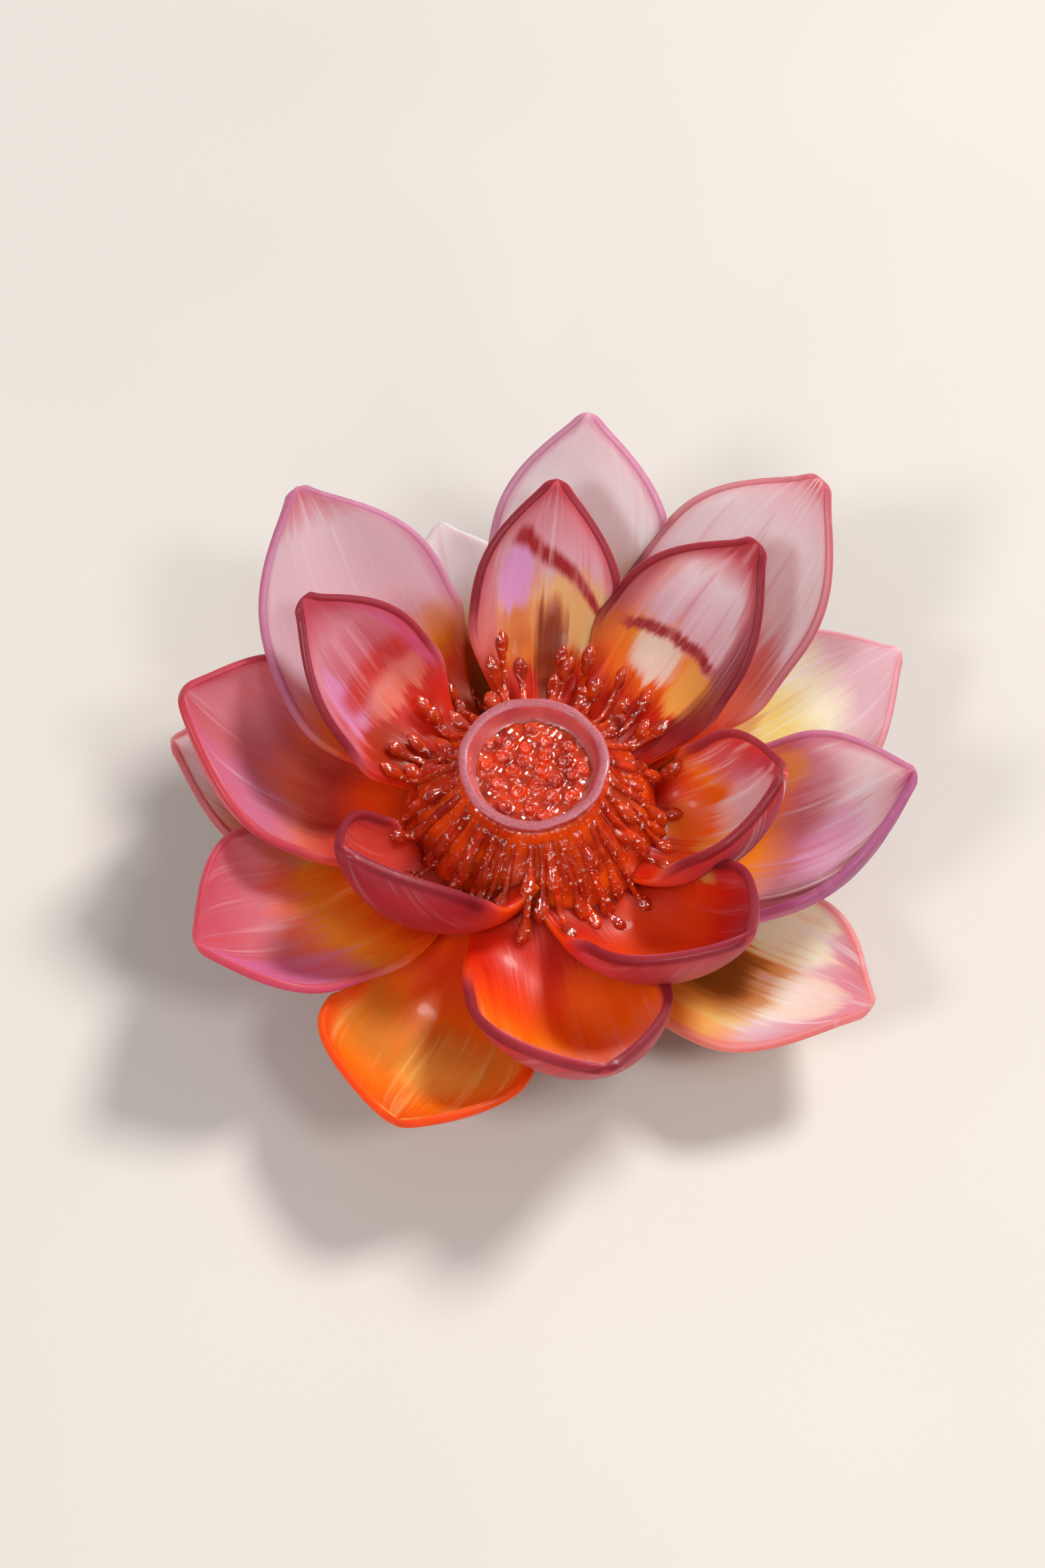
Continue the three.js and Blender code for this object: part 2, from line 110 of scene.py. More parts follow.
# Waves along the rim and across the face: height, how many, and how they differ between petals.
RIM_WAVE = 0.7
RIM_WAVES = 1.4
FACE_WAVE = 0.35
FACE_WAVES = 2.5
WAVE_SHIFT = 7
# Rings along a petal, points across a face and round a rim, and how they crowd at the ends.
STATIONS = 60
STATION_CROWDING = (0.9, 1.3)
ACROSS = 31
ACROSS_CROWDING = 1.25
RIM_POINTS = 4
# How closely the strokes of the material follow the narrowing of the petal.
FLOW_SPREAD = 0.6
# Where two petals meet: the reach of the search, the depth of the later one, and the blend.
TUCK_REACH = 14
TUCK_DEPTH = 2.2
TUCK_FADE = 5

# Front to back: where two petals meet, the later one tucks behind the earlier.
#   at: place round the axis in degrees. root, tip: radius and height of the midrib's ends.
#   rise: slope of the midrib at its ends. bow, tilt: how far its middle and its tip lie aside.
#   width: the greatest. full: how long it lasts. growth: how it grows. blunt: radius of the tip.
#   cup: degrees from midrib to rim. lop: how much wider one side is. swell: as SWELL.
#   share, root_cup: as ROOT_SHARE and ROOT_CUP, and a pair of them is for the two sides.
PETALS = {
    "inner_petal_3": dict(
        at=-8, root=(24, 25), tip=(78, 80), width=63, rise=(-25, 95), cup=85, full=2.1,
        blunt=5.5, swell=20, share=(0.6, 0.34), root_cup=(0.6, 0.3),
    ),
    "inner_petal_4": dict(
        at=-47, root=(24, 23), tip=(94, 82), width=71, rise=(-25, 80), cup=85, lop=-0.1,
        full=2.1, swell=20, share=(0.75, 0.34), root_cup=(0.8, 0.3),
    ),
    "inner_petal_2": dict(
        at=42, root=(24, 32), tip=(98, 94), width=61, rise=(0, 65), cup=55, bow=4, blunt=4,
        swell=10,
    ),
    "inner_petal_6": dict(
        at=-138, root=(24, 27), tip=(70, 84), width=62, rise=(-15, 90), cup=85, tilt=-9,
        full=2.0, growth=1.3, blunt=6, swell=16, share=(0.34, 0.95), root_cup=(0.3, 0.85),
        lop=0.1,
    ),
    "inner_petal_5": dict(
        at=-79, root=(24, 24), tip=(110, 73), width=77, rise=(-18, 75), cup=75, lop=-0.12,
        full=2.4, blunt=10, swell=20, share=0.6, root_cup=0.3,
    ),
    "inner_petal_1": dict(
        at=85, root=(24, 32), tip=(91, 94), width=56, rise=(0, 70), cup=60, lop=-0.05, bow=2,
        swell=10,
    ),
    "inner_petal_7": dict(
        at=149, root=(24, 32), tip=(86, 94), width=56, rise=(0, 65), cup=60, swell=10, blunt=3.5,
    ),
    "middle_petal_2": dict(
        at=43, root=(26, 22), tip=(129, 98), width=73, rise=(0, 60), cup=50, bow=3, full=2.2,
        blunt=5, growth=3.2,
    ),
    "middle_petal_1": dict(
        at=81, root=(26, 22), tip=(118, 96), width=66, rise=(0, 60), cup=50, lop=-0.06, bow=-1,
        full=2.2,
    ),
    "middle_petal_6": dict(
        at=132, root=(26, 22), tip=(115, 97), width=76, rise=(0, 60), cup=50, bow=7, full=2.2,
        blunt=4,
    ),
    "middle_petal_5": dict(
        at=171, root=(26, 20), tip=(113, 79), width=79, rise=(-5, 70), cup=65, lop=0.1, full=2.3,
        blunt=9,
    ),
    "middle_petal_4": dict(
        at=-149, root=(26, 20), tip=(122, 63), width=70, rise=(-5, 50), cup=55, lop=-0.1,
        full=2.6,
    ),
    "middle_petal_3": dict(
        at=-4, root=(26, 20), tip=(121, 75), width=81, rise=(-12, 65), cup=68, lop=-0.12, bow=-6,
        full=2.1,
    ),
    "lower_petal_4": dict(
        at=-105, root=(28, 14), tip=(122, 48), width=71, rise=(-5, 50), cup=60, lop=-0.1,
        tilt=-10, bow=-2, full=3.2, blunt=24, swell=15,
    ),
    "lower_petal_3": dict(
        at=-35, root=(28, 14), tip=(130, 42), width=68, rise=(-5, 35), cup=40, lop=-0.14,
        full=2.2, blunt=5,
    ),
    "lower_petal_2": dict(
        at=24, root=(28, 14), tip=(136, 46), width=67, rise=(-5, 35), cup=35, lop=-0.1, full=2.2,
    ),
    "lower_petal_6": dict(
        at=107, root=(28, 14), tip=(109, 50), width=63, rise=(-5, 35), cup=40, full=1.8,
    ),
    "lower_petal_1": dict(
        at=66, root=(28, 14), tip=(117, 44), width=63, rise=(-5, 35), cup=38, full=2.2,
    ),
    "lower_petal_5": dict(
        at=171, root=(28, 14), tip=(121, 48), width=67, rise=(-5, 35), cup=40, full=2.1,
    ),
}


def unit(vectors):
    return vectors / np.linalg.norm(vectors, axis=-1, keepdims=True)


def rib_frame(petal, s):
    """The midrib's points and its forward, sideways and inward directions, at azimuth 0."""
    root, tip = np.array(petal["root"], float), np.array(petal["tip"], float)
    pull = RIB_PULL * np.linalg.norm(tip - root)
    leave, arrive = np.radians(petal["rise"])
    first = root + pull * np.array([math.cos(leave), math.sin(leave)])
    second = tip - pull * np.array([math.cos(arrive), math.sin(arrive)])
    u = s[:, None]
    v = 1 - u
    place = v**3 * root + 3 * v**2 * u * first + 3 * v * u**2 * second + u**3 * tip
    slope = 3 * v**2 * (first - root) + 6 * v * u * (second - first) + 3 * u**2 * (tip - second)
    bow, tilt = petal.get("bow", 0), petal.get("tilt", 0)
    sideways = bow * np.sin(np.pi * s) + tilt * s**2
    drift = bow * np.pi * np.cos(np.pi * s) + 2 * tilt * s
    rib = np.stack([place[:, 0], sideways, place[:, 1]], -1)
    forward = unit(np.stack([slope[:, 0], drift, slope[:, 1]], -1))
    side = unit(np.array([0.0, 1, 0]) - forward * forward[:, 1:2])
    return rib, forward, side, np.cross(forward, side)


def sides(petal, key, default, across):
    """A value of each side of a petal, spread over places across it."""
    value = petal.get(key, default)
    low, high = value if isinstance(value, tuple) else (value, value)
    return np.where(across > 0, high, low)


def half_width(petal, s, share):
    """Half the width of the petal, which ends in a point with a rounded end."""
    full = petal.get("full", FULL)
    growth = petal.get("growth", ROOT_GROWTH)
    below = share + (1 - share) * np.sin(np.pi * np.minimum(s, 0.5)) ** growth
    above = np.cos(np.pi / 2 * np.clip(2 * s - 1, 0, 1) ** full) ** TIP_POINT
    half = np.where(s < 0.5, below, above) * petal["width"] / 2
    radius = petal.get("blunt", TIP_RADIUS)
    length = math.dist(petal["root"], petal["tip"]) * RIB_STRETCH
    short = np.clip(1 - (1 - s) * length / radius, 0, 1)
    end = radius * np.sqrt(1 - short**2) * np.clip((s - TIP_FROM) / TIP_FADE, 0, 1)
    return np.maximum((half**TIP_SHARP + end**TIP_SHARP) ** (1 / TIP_SHARP), TIP_HALF)


def cup_angle(petal, s, root):
    """How far each side of a cross-section bends, in radians."""
    below = root + (1 - root) * np.sin(np.pi * np.minimum(s, 0.5)) ** ROOT_GROWTH
    share = np.where(s < 0.5, below, 1 - CUP_FALL * (2 * s - 1) ** 2)
    return np.radians(petal["cup"]) * share


def ring_layout():
    """Across, depth share and outward share of each point round a cross-section."""
    rim = np.radians(np.arange(1, RIM_POINTS + 1) * 90 / (RIM_POINTS + 1))
    face = np.linspace(1, -1, ACROSS)
    face = np.sign(face) * (1 - (1 - np.abs(face)) ** ACROSS_CROWDING)
    ones, flat = np.ones(RIM_POINTS), 0 * face
    sine, cosine = np.sin(rim), np.cos(rim)
    t = [[1], ones, face, -ones, [-1], -ones, -face, ones]
    depth = [[0.5], 0.5 * (1 - sine), flat, 0.5 * (1 - sine[::-1])]
    depth += [[0.5], 0.5 * (1 + sine), flat + 1, 0.5 * (1 + sine[::-1])]
    out = [[1], cosine, flat, -cosine[::-1], [-1], -cosine, flat, cosine[::-1]]
    return np.concatenate(t), np.concatenate(depth), np.concatenate(out)


def petal_grid(petal):
    """The points of a petal's shell, ring by ring, and the values that its material reads."""
    t, depth_share, out_share = ring_layout()
    by_root, by_tip = STATION_CROWDING
    s = 1 - (1 - np.linspace(0, 1, STATIONS + 1) ** by_root) ** by_tip
    rib, forward, side, inward = rib_frame(petal, s)
    S, T = s[:, None], t[None, :]
    half = half_width(petal, S, sides(petal, "share", ROOT_SHARE, T))
    cup = cup_angle(petal, S, sides(petal, "root_cup", ROOT_CUP, T))
    slim = half_width(petal, s, ROOT_SHARE)

    # Depth of each point under the inner face.
    taper = np.clip(slim / RIM_FADE, LEAST_TAPER, 1)
    below = ROOT_THICKNESS + (THICKNESS - ROOT_THICKNESS) * 2 * s
    above = THICKNESS + (RIM_THICKNESS - THICKNESS) * (2 * s - 1)
    thick = np.where(s < 0.5, below, above) * taper
    rim = np.minimum(RIM_THICKNESS * taper, thick)
    depth = depth_share * (thick[:, None] + (rim - thick)[:, None] * T**2)
    phase = math.radians(petal["at"] * WAVE_SHIFT)
    wave = RIM_WAVE * T**4 * np.sin(2 * np.pi * RIM_WAVES * S + phase) * np.sin(np.pi * S)
    wave = wave + FACE_WAVE * np.sin(FACE_WAVES * np.pi * T + phase) * np.sin(np.pi * S) ** 2
    depth = depth + wave
    swell = petal.get("swell", SWELL) * np.clip(1 - S / SWELL_END, 0, 1) ** SWELL_FALL * (1 - T**2)
    depth = depth - swell * (1 - depth_share)

    # Each cross-section is an arc round the midrib.
    round_share = RIM_ROUND * rim * np.clip(slim / FULL_ROUND_HALF, LEAST_ROUND, 1)
    outside = out_share * round_share[:, None]
    turn = cup * T
    scale = (1 + np.sign(T) * petal.get("lop", 0)) * half / cup
    x = scale * np.sin(turn) + np.sin(turn) * depth + np.cos(turn) * outside
    y = scale * (1 - np.cos(turn)) - np.cos(turn) * depth + np.sin(turn) * outside
    points = rib[:, None] + side[:, None] * x[..., None] + inward[:, None] * y[..., None]
    first = points[:1] - forward[:1, None] * ROOT_DEPTH
    last, middle = points[-1:], points[-1:].mean(1, keepdims=True)
    dome = [
        middle + (last - middle) * math.cos(a) + forward[-1:, None] * TIP_DOME * math.sin(a)
        for a in np.radians(DOME_ANGLES)
    ]
    points = np.concatenate([first, points, *dome])

    shape = points.shape[:2]
    closing = len(DOME_ANGLES)
    along = np.concatenate([[0], s, [1] * closing])[:, None] + 0 * T
    edge = np.concatenate([half[:1], half] + [half[-1:] * share for share in DOME_SHARES])
    spread = (slim / slim.max()) ** FLOW_SPREAD
    flow = np.concatenate([spread[:1], spread, spread[-1:].repeat(closing)])[:, None] * T
    attributes = {
        "along": along,
        "across": np.broadcast_to(T, shape),
        "flow": flow,
        "rim": edge * (1 - np.abs(T)),
        "inside": np.broadcast_to(1 - depth_share, shape),
    }
    angle = math.radians(petal["at"])
    turned = points.copy()
    turned[..., 0] = points[..., 0] * math.cos(angle) - points[..., 1] * math.sin(angle)
    turned[..., 1] = points[..., 0] * math.sin(angle) + points[..., 1] * math.cos(angle)
    return turned, attributes


def inner_face(points):
    """A search tree of a petal's inner face, in millimetres."""
    first = 1 + RIM_POINTS
    grid = points[1 : STATIONS + 2, first : first + ACROSS]
    rows, columns = grid.shape[:2]
    quads = [
        (r * columns + c, r * columns + c + 1, (r + 1) * columns + c + 1, (r + 1) * columns + c)
        for r in range(rows - 1)
        for c in range(columns - 1)
    ]
    return BVHTree.FromPolygons([Vector(p) for p in grid.reshape(-1, 3)], quads)


def tuck(points, trees):
    """Moves what pokes out of an earlier petal's inner face back into that petal."""
    for tree in trees:
        for index in np.ndindex(points.shape[:2]):
            point = Vector(points[index])
            near, normal, _, _ = tree.find_nearest(point, TUCK_REACH)
            if near is None:
                continue
            away = point - near
            height = away.dot(normal)
            if height > -TUCK_DEPTH:
                beside = (away - normal * height).length
                share = max(0, 1 - beside / TUCK_FADE)
                points[index] = point - normal * (height + TUCK_DEPTH) * share
    return points


# ---- Mesh making -----------------------------------------------------------------------------


def new_mesh(name, points, faces, attributes=None):
    """A smooth object from points in millimetres."""
    mesh = bpy.data.meshes.new(name)
    mesh.from_pydata((np.asarray(points, float) * MM).tolist(), [], faces)
    for key, values in (attributes or {}).items():
        layer = mesh.attributes.new(key, "FLOAT", "POINT")
        layer.data.foreach_set("value", np.asarray(values, np.float32).ravel())
    mesh.shade_smooth()
    mesh.update()
    made = bpy.data.objects.new(name, mesh)
    bpy.context.scene.collection.objects.link(made)
    return made


def ring_faces(rows, size, offset=0):
    """Quads between rings that follow each other, and strips that close the first and the last."""
    faces = []
    for row in range(rows - 1):
        low, high = offset + row * size, offset + (row + 1) * size
        for i in range(size):
            j = (i + 1) % size
            faces.append((low + i, low + j, high + j, high + i))
    for base, flip in ((offset, True), (offset + (rows - 1) * size, False)):
        for i in range(size // 2):
            face = [base + i, base + i + 1, base + size - i - 1, base + (size - i) % size]
            face = list(dict.fromkeys(face))
            faces.append(tuple(face[::-1] if flip else face))
    return faces


def turned_mesh(name, profile, around, ripple=None):
    """A body of revolution from (radius, height) points, the first and last on the axis."""
    shaped = ripple or (lambda radius, height, a: (radius, height))
    points = [(0, 0, shaped(*profile[0], 0)[1])]
    for radius, height in profile[1:-1]:
        for i in range(around):
            a = 2 * math.pi * i / around
            r, h = shaped(radius, height, a)
            points.append((r * math.cos(a), r * math.sin(a), h))
    points.append((0, 0, shaped(*profile[-1], 0)[1]))
    end = len(points) - 1
    faces = []
    for i in range(around):
        j = (i + 1) % around
        faces.append((0, 1 + j, 1 + i))
        for low in range(1, end - around, around):
            faces.append((low + i, low + j, low + around + j, low + around + i))
        faces.append((end, end - around + i, end - around + j))
    return new_mesh(name, points, faces)


def search_tree(made):
    """A search tree of an object's mesh, in metres."""
    faces = [tuple(polygon.vertices) for polygon in made.data.polygons]
    return BVHTree.FromPolygons([Vector(vertex.co) for vertex in made.data.vertices], faces)


# ---- Materials -------------------------------------------------------------------------------


def linear(code):
    """A colour of six hexadecimal digits as linear light."""
    parts = [int(code[i : i + 2], 16) / 255 for i in (0, 2, 4)]
    return [p / 12.92 if p <= 0.04045 else ((p + 0.055) / 1.055) ** 2.4 for p in parts] + [1.0]


EMBER = linear("c02008")
FLAME = linear("e04208")
ORANGE = linear("ee680a")
AMBER = linear("f08c28")
GOLD = linear("f2ac54")
BUTTER = linear("f6bc7c")
HONEY = linear("cc7c28")
YELLOW = linear("f4d488")
CREAM = linear("f8e8cc")
PEACH = linear("f8d6c8")
# The white of the painted glints.
GLINT_WHITE = linear("fff0e6")
APRICOT = linear("eca084")
SALMON = linear("dc6c54")
LILAC = linear("dca0d8")
ORCHID = linear("c86cb0")
PLUM = linear("963c80")
LAVENDER = linear("b07e9e")
MAUVE = linear("904c70")
FROST = linear("f5e4ea")
PALE = linear("ecd2d8")
PINK = linear("dfb2be")
HAZE = linear("d0b2bc")
DUSTY = linear("cc8896")
CLAY = linear("bc6872")
ROSE = linear("b65062")
BRICK = linear("bc3c30")
BERRY = linear("a04048")
CRIMSON = linear("9a2a3a")
GARNET = linear("8c3444")
WINE = linear("6e1c28")
OCHRE = linear("a86014")
BROWN = linear("8c2e04")
# The brown of a painted shadow on a lower petal.
SHADOW_UMBER = linear("80480c")
# The colour of the painted shadow that outer petals' rims cast across inner petals.
SHADOW_LINE_RED = linear("9e2e34")


class Graph:
    """Short calls that build one material's nodes."""

    def __init__(self, name):
        self.material = bpy.data.materials.new(name)
        self.material.use_nodes = True
        self.tree = self.material.node_tree
        self.shader = self.tree.nodes["Principled BSDF"]

    def put(self, socket, value):
        if isinstance(value, bpy.types.NodeSocket):
            self.tree.links.new(value, socket)
        else:
            socket.default_value = value

    def node(self, kind, inputs=None, **settings):
        made = self.tree.nodes.new("ShaderNode" + kind)
        for key, value in settings.items():
            setattr(made, key, value)
        for key, value in (inputs or {}).items():
            self.put(made.inputs[key], value)
        return made

    def math(self, operation, a, b=0.0, c=0.0):
        return self.node("Math", {0: a, 1: b, 2: c}, operation=operation).outputs[0]

    def scaled(self, value, factor, offset=0.0):
        return self.math("MULTIPLY_ADD", value, factor, offset)

    def product(self, first, *others):
        for other in others:
            first = self.math("MULTIPLY", first, other)
        return first

    def attribute(self, name):
        return self.node("Attribute", attribute_name=name).outputs["Fac"]

    def place(self):
        return self.node("TexCoord").outputs["Object"]

    def vector(self, x, y, z=0.0):
        return self.node("CombineXYZ", {0: x, 1: y, 2: z}).outputs[0]

    def noise(self, vector, scale, detail=2.0, roughness=0.5):
        """Noise with its middle at zero."""
        inputs = {"Vector": vector, "Scale": scale, "Detail": detail, "Roughness": roughness}
        return self.math("SUBTRACT", self.node("TexNoise", inputs).outputs["Fac"], 0.5)

    def smooth(self, value, low, high, to_low=0.0, to_high=1.0):
        inputs = {"Value": value, "From Min": low, "From Max": high}
        inputs.update({"To Min": to_low, "To Max": to_high})
        return self.node("MapRange", inputs, interpolation_type="SMOOTHSTEP").outputs[0]

    def ramp(self, factor, stops):
        made = self.node("ValToRGB", {"Fac": factor})
        elements = made.color_ramp.elements
        while len(elements) < len(stops):
            elements.new(0.5)
        for element, (position, colour) in zip(elements, stops):
            element.position = position
            element.color = colour
        return made.outputs["Color"]

    def mix(self, factor, a, b):
        made = self.node("Mix", data_type="RGBA")
        for index, value in ((0, factor), (6, a), (7, b)):
            self.put(made.inputs[index], value)
        return made.outputs[2]

    def bump(self, height, strength, distance):
        inputs = {"Height": height, "Strength": strength, "Distance": distance}
        return self.node("Bump", inputs).outputs[0]

    def set(self, **values):
        for key, value in values.items():
            self.put(self.shader.inputs[key.replace("_", " ")], value)


# Noise scales. The petals' strokes and hairs have one across and one along the petal.
BRUSH = (6.0, 1.1)
HAIR = (21.0, 1.5)
WOBBLE = 2.2
CLOUD = 26.0
PETAL_GRAIN = 1100.0
GLOSS_GRAIN = 700.0
# SPARKLE is the scale of the painted glints.
SPARKLE = 520.0
GLOSS_BUMP = 260.0
PETAL_SEED_STEP = 0.37
# A patch: how square it is, and the values between which it fades out.
PATCH_CORNER = 3.0
PATCH_FADE = (2.2, 0.15)


def patch_mask(g, along, across, area):
    """A window with soft edges: its lowest and highest along, then across."""
    share = []
    for value, low, high in ((along, *area[:2]), (across, *area[2:])):
        half = (high - low) / 2
        off_middle = g.math("ABSOLUTE", g.scaled(value, 1 / half, -(low + half) / half))
        share.append(g.math("POWER", off_middle, PATCH_CORNER))
    return g.smooth(g.math("ADD", *share), *PATCH_FADE)


def painted_shadow_line_mask(g, shadow_line, along, across, brush, hair, seed):
    """A wavy line of painted shadow across a petal, as an outer petal's rim casts: place, lean,
    bend, its two ends, thickness and strength.
    """
    start, lean, bend, ends, thick, strength = shadow_line
    curve = g.scaled(g.math("MULTIPLY", across, across), bend)
    line = g.math("ADD", curve, g.scaled(across, lean, start))
    wobble = g.noise(g.vector(g.scaled(across, WOBBLE), seed), 1.0)
    away = g.math("SUBTRACT", g.scaled(hair, 0.035, along), g.scaled(wobble, 0.07, line))
    return g.product(
        g.smooth(g.math("ABSOLUTE", away), thick, thick * 0.2),
        g.smooth(across, ends[0], ends[0] + 0.25),
        g.smooth(across, ends[1], ends[1] - 0.25),
        g.scaled(brush, 0.6, strength),
    )


def petal_material(name, look):
    """Frosted glass with the zones, patches, strokes and rim tints of one petal."""
    g = Graph(name)
    seed = (PETALS[name]["at"] % 360) * PETAL_SEED_STEP
    along, across, flow = g.attribute("along"), g.attribute("across"), g.attribute("flow")
    rim, inside = g.attribute("rim"), g.attribute("inside")
    place = g.place()

    def strands(scale_across, scale_along):
        vector = g.vector(g.scaled(flow, scale_across), g.scaled(along, scale_along), seed)
        return g.noise(vector, 1.0, 3.0, 0.6)

    brush, hair = strands(*BRUSH), strands(*HAIR)
    cloud = g.noise(place, CLOUD, 3.0, 0.55)
    grain = g.noise(place, PETAL_GRAIN)

    # Zones along the petal and patches, with brushed borders.
    stroke = g.math("ADD", g.product(brush, 0.16), g.product(hair, 0.12))
    drift = g.math("ADD", stroke, g.scaled(cloud, 0.12))
    level = g.math("ADD", g.scaled(across, look["slant"], along), drift)
    brushed = g.math("ADD", along, stroke)
    side = g.math("ADD", g.scaled(cloud, 0.35, across), g.product(hair, 0.3))
    front = g.ramp(level, look["inside"])
    for colour, strength, area in look["patches"]:
        front = g.mix(g.product(patch_mask(g, brushed, side, area), strength), front, colour)
    # Painted shadow: the dark line that an outer petal's rim casts across this petal.
    if "shadow_line" in look:
        mark = painted_shadow_line_mask(g, look["shadow_line"], along, across, brush, hair, seed)
        front = g.mix(mark, front, look["shadow_line_colour"])
    colour = g.mix(g.smooth(inside, 0.3, 0.7), g.ramp(level, look["outside"]), front)

    # Pale and dark strokes on the upper part.
    upper = g.smooth(along, look["upper"], 0.64)
    light = g.smooth(g.math("ADD", brush, g.scaled(hair, 0.7)), 0.02, 0.3)
    colour = g.mix(g.product(light, upper, look["streaks"]), colour, look["streak"])
    dark = g.smooth(g.math("ADD", brush, g.scaled(hair, 0.5)), -0.04, -0.25)
    colour = g.mix(g.product(dark, upper, look["shade"]), colour, look["dark"])

    # A wide ragged border, and a narrow line on the rim itself.
    width, strength, tint = look["edge"]
    border = g.smooth(g.math("ADD", g.scaled(brush, 4.0, rim), g.scaled(cloud, 3.0)), width, 0.5)
    colour = g.mix(g.product(border, g.smooth(along, 0.22, 0.6), strength), colour, tint)
    width, strength, tint = look["rim"]
    border = g.smooth(g.scaled(cloud, 1.5, rim), width, width * 0.35)
    colour = g.mix(g.product(border, g.smooth(along, 0.3, 0.6), strength), colour, tint)

    polish = g.smooth(along, 0.2, 0.45, 0.38, 0.44)
    ridges = g.math("ADD", g.scaled(hair, 0.8, brush), g.scaled(grain, 0.06))
    g.set(
        Base_Color=colour,
        Roughness=g.math("ADD", g.scaled(grain, 0.1, polish), g.scaled(cloud, 0.12)),
        IOR=1.48,
        Normal=g.bump(ridges, 0.22, 0.0012),
        Specular_IOR_Level=0.16,
        Subsurface_Weight=1.0,
        Subsurface_Radius=(1.0, 0.6, 0.55),
        Subsurface_Scale=0.018,
        Transmission_Weight=0.1,
        Coat_Weight=0.06,
        Coat_Roughness=0.12,
    )
    return g.material


def glossy_material(
    name, deep, bright, roughness, scale, clear=0.2, bump=0.0, depth=0.005, coat=0.35, glint=0.0
):
    """Polished glass whose colour drifts between two tones, with painted white glints where glint
    is set.
    """
    g = Graph(name)
    g.shader.subsurface_method = "BURLEY"
    place = g.place()
    drift = g.scaled(g.noise(place, scale, 3.0, 0.6), 1.0, 0.5)
    grain = g.noise(place, GLOSS_GRAIN)
    colour = g.ramp(drift, [(0.35, deep), (0.65, bright)])
    # Painted highlight: white specks that stand in for glints of light on the glass.
    if glint:
        painted_glint = g.smooth(g.noise(place, SPARKLE, 3.0, 0.6), 0.1, 0.16)
        colour = g.mix(g.product(painted_glint, glint), colour, GLINT_WHITE)
    g.set(
        Base_Color=colour,
        Roughness=g.scaled(grain, 0.06, roughness),
        IOR=1.5,
        Subsurface_Weight=1.0,
        Subsurface_Radius=(1.0, 0.35, 0.2),
        Subsurface_Scale=depth,
        Transmission_Weight=clear,
        Coat_Weight=coat,
        Coat_Roughness=0.03,
    )
    if bump:
        g.set(Normal=g.bump(g.noise(place, GLOSS_BUMP), 0.6, bump))
    return g.material
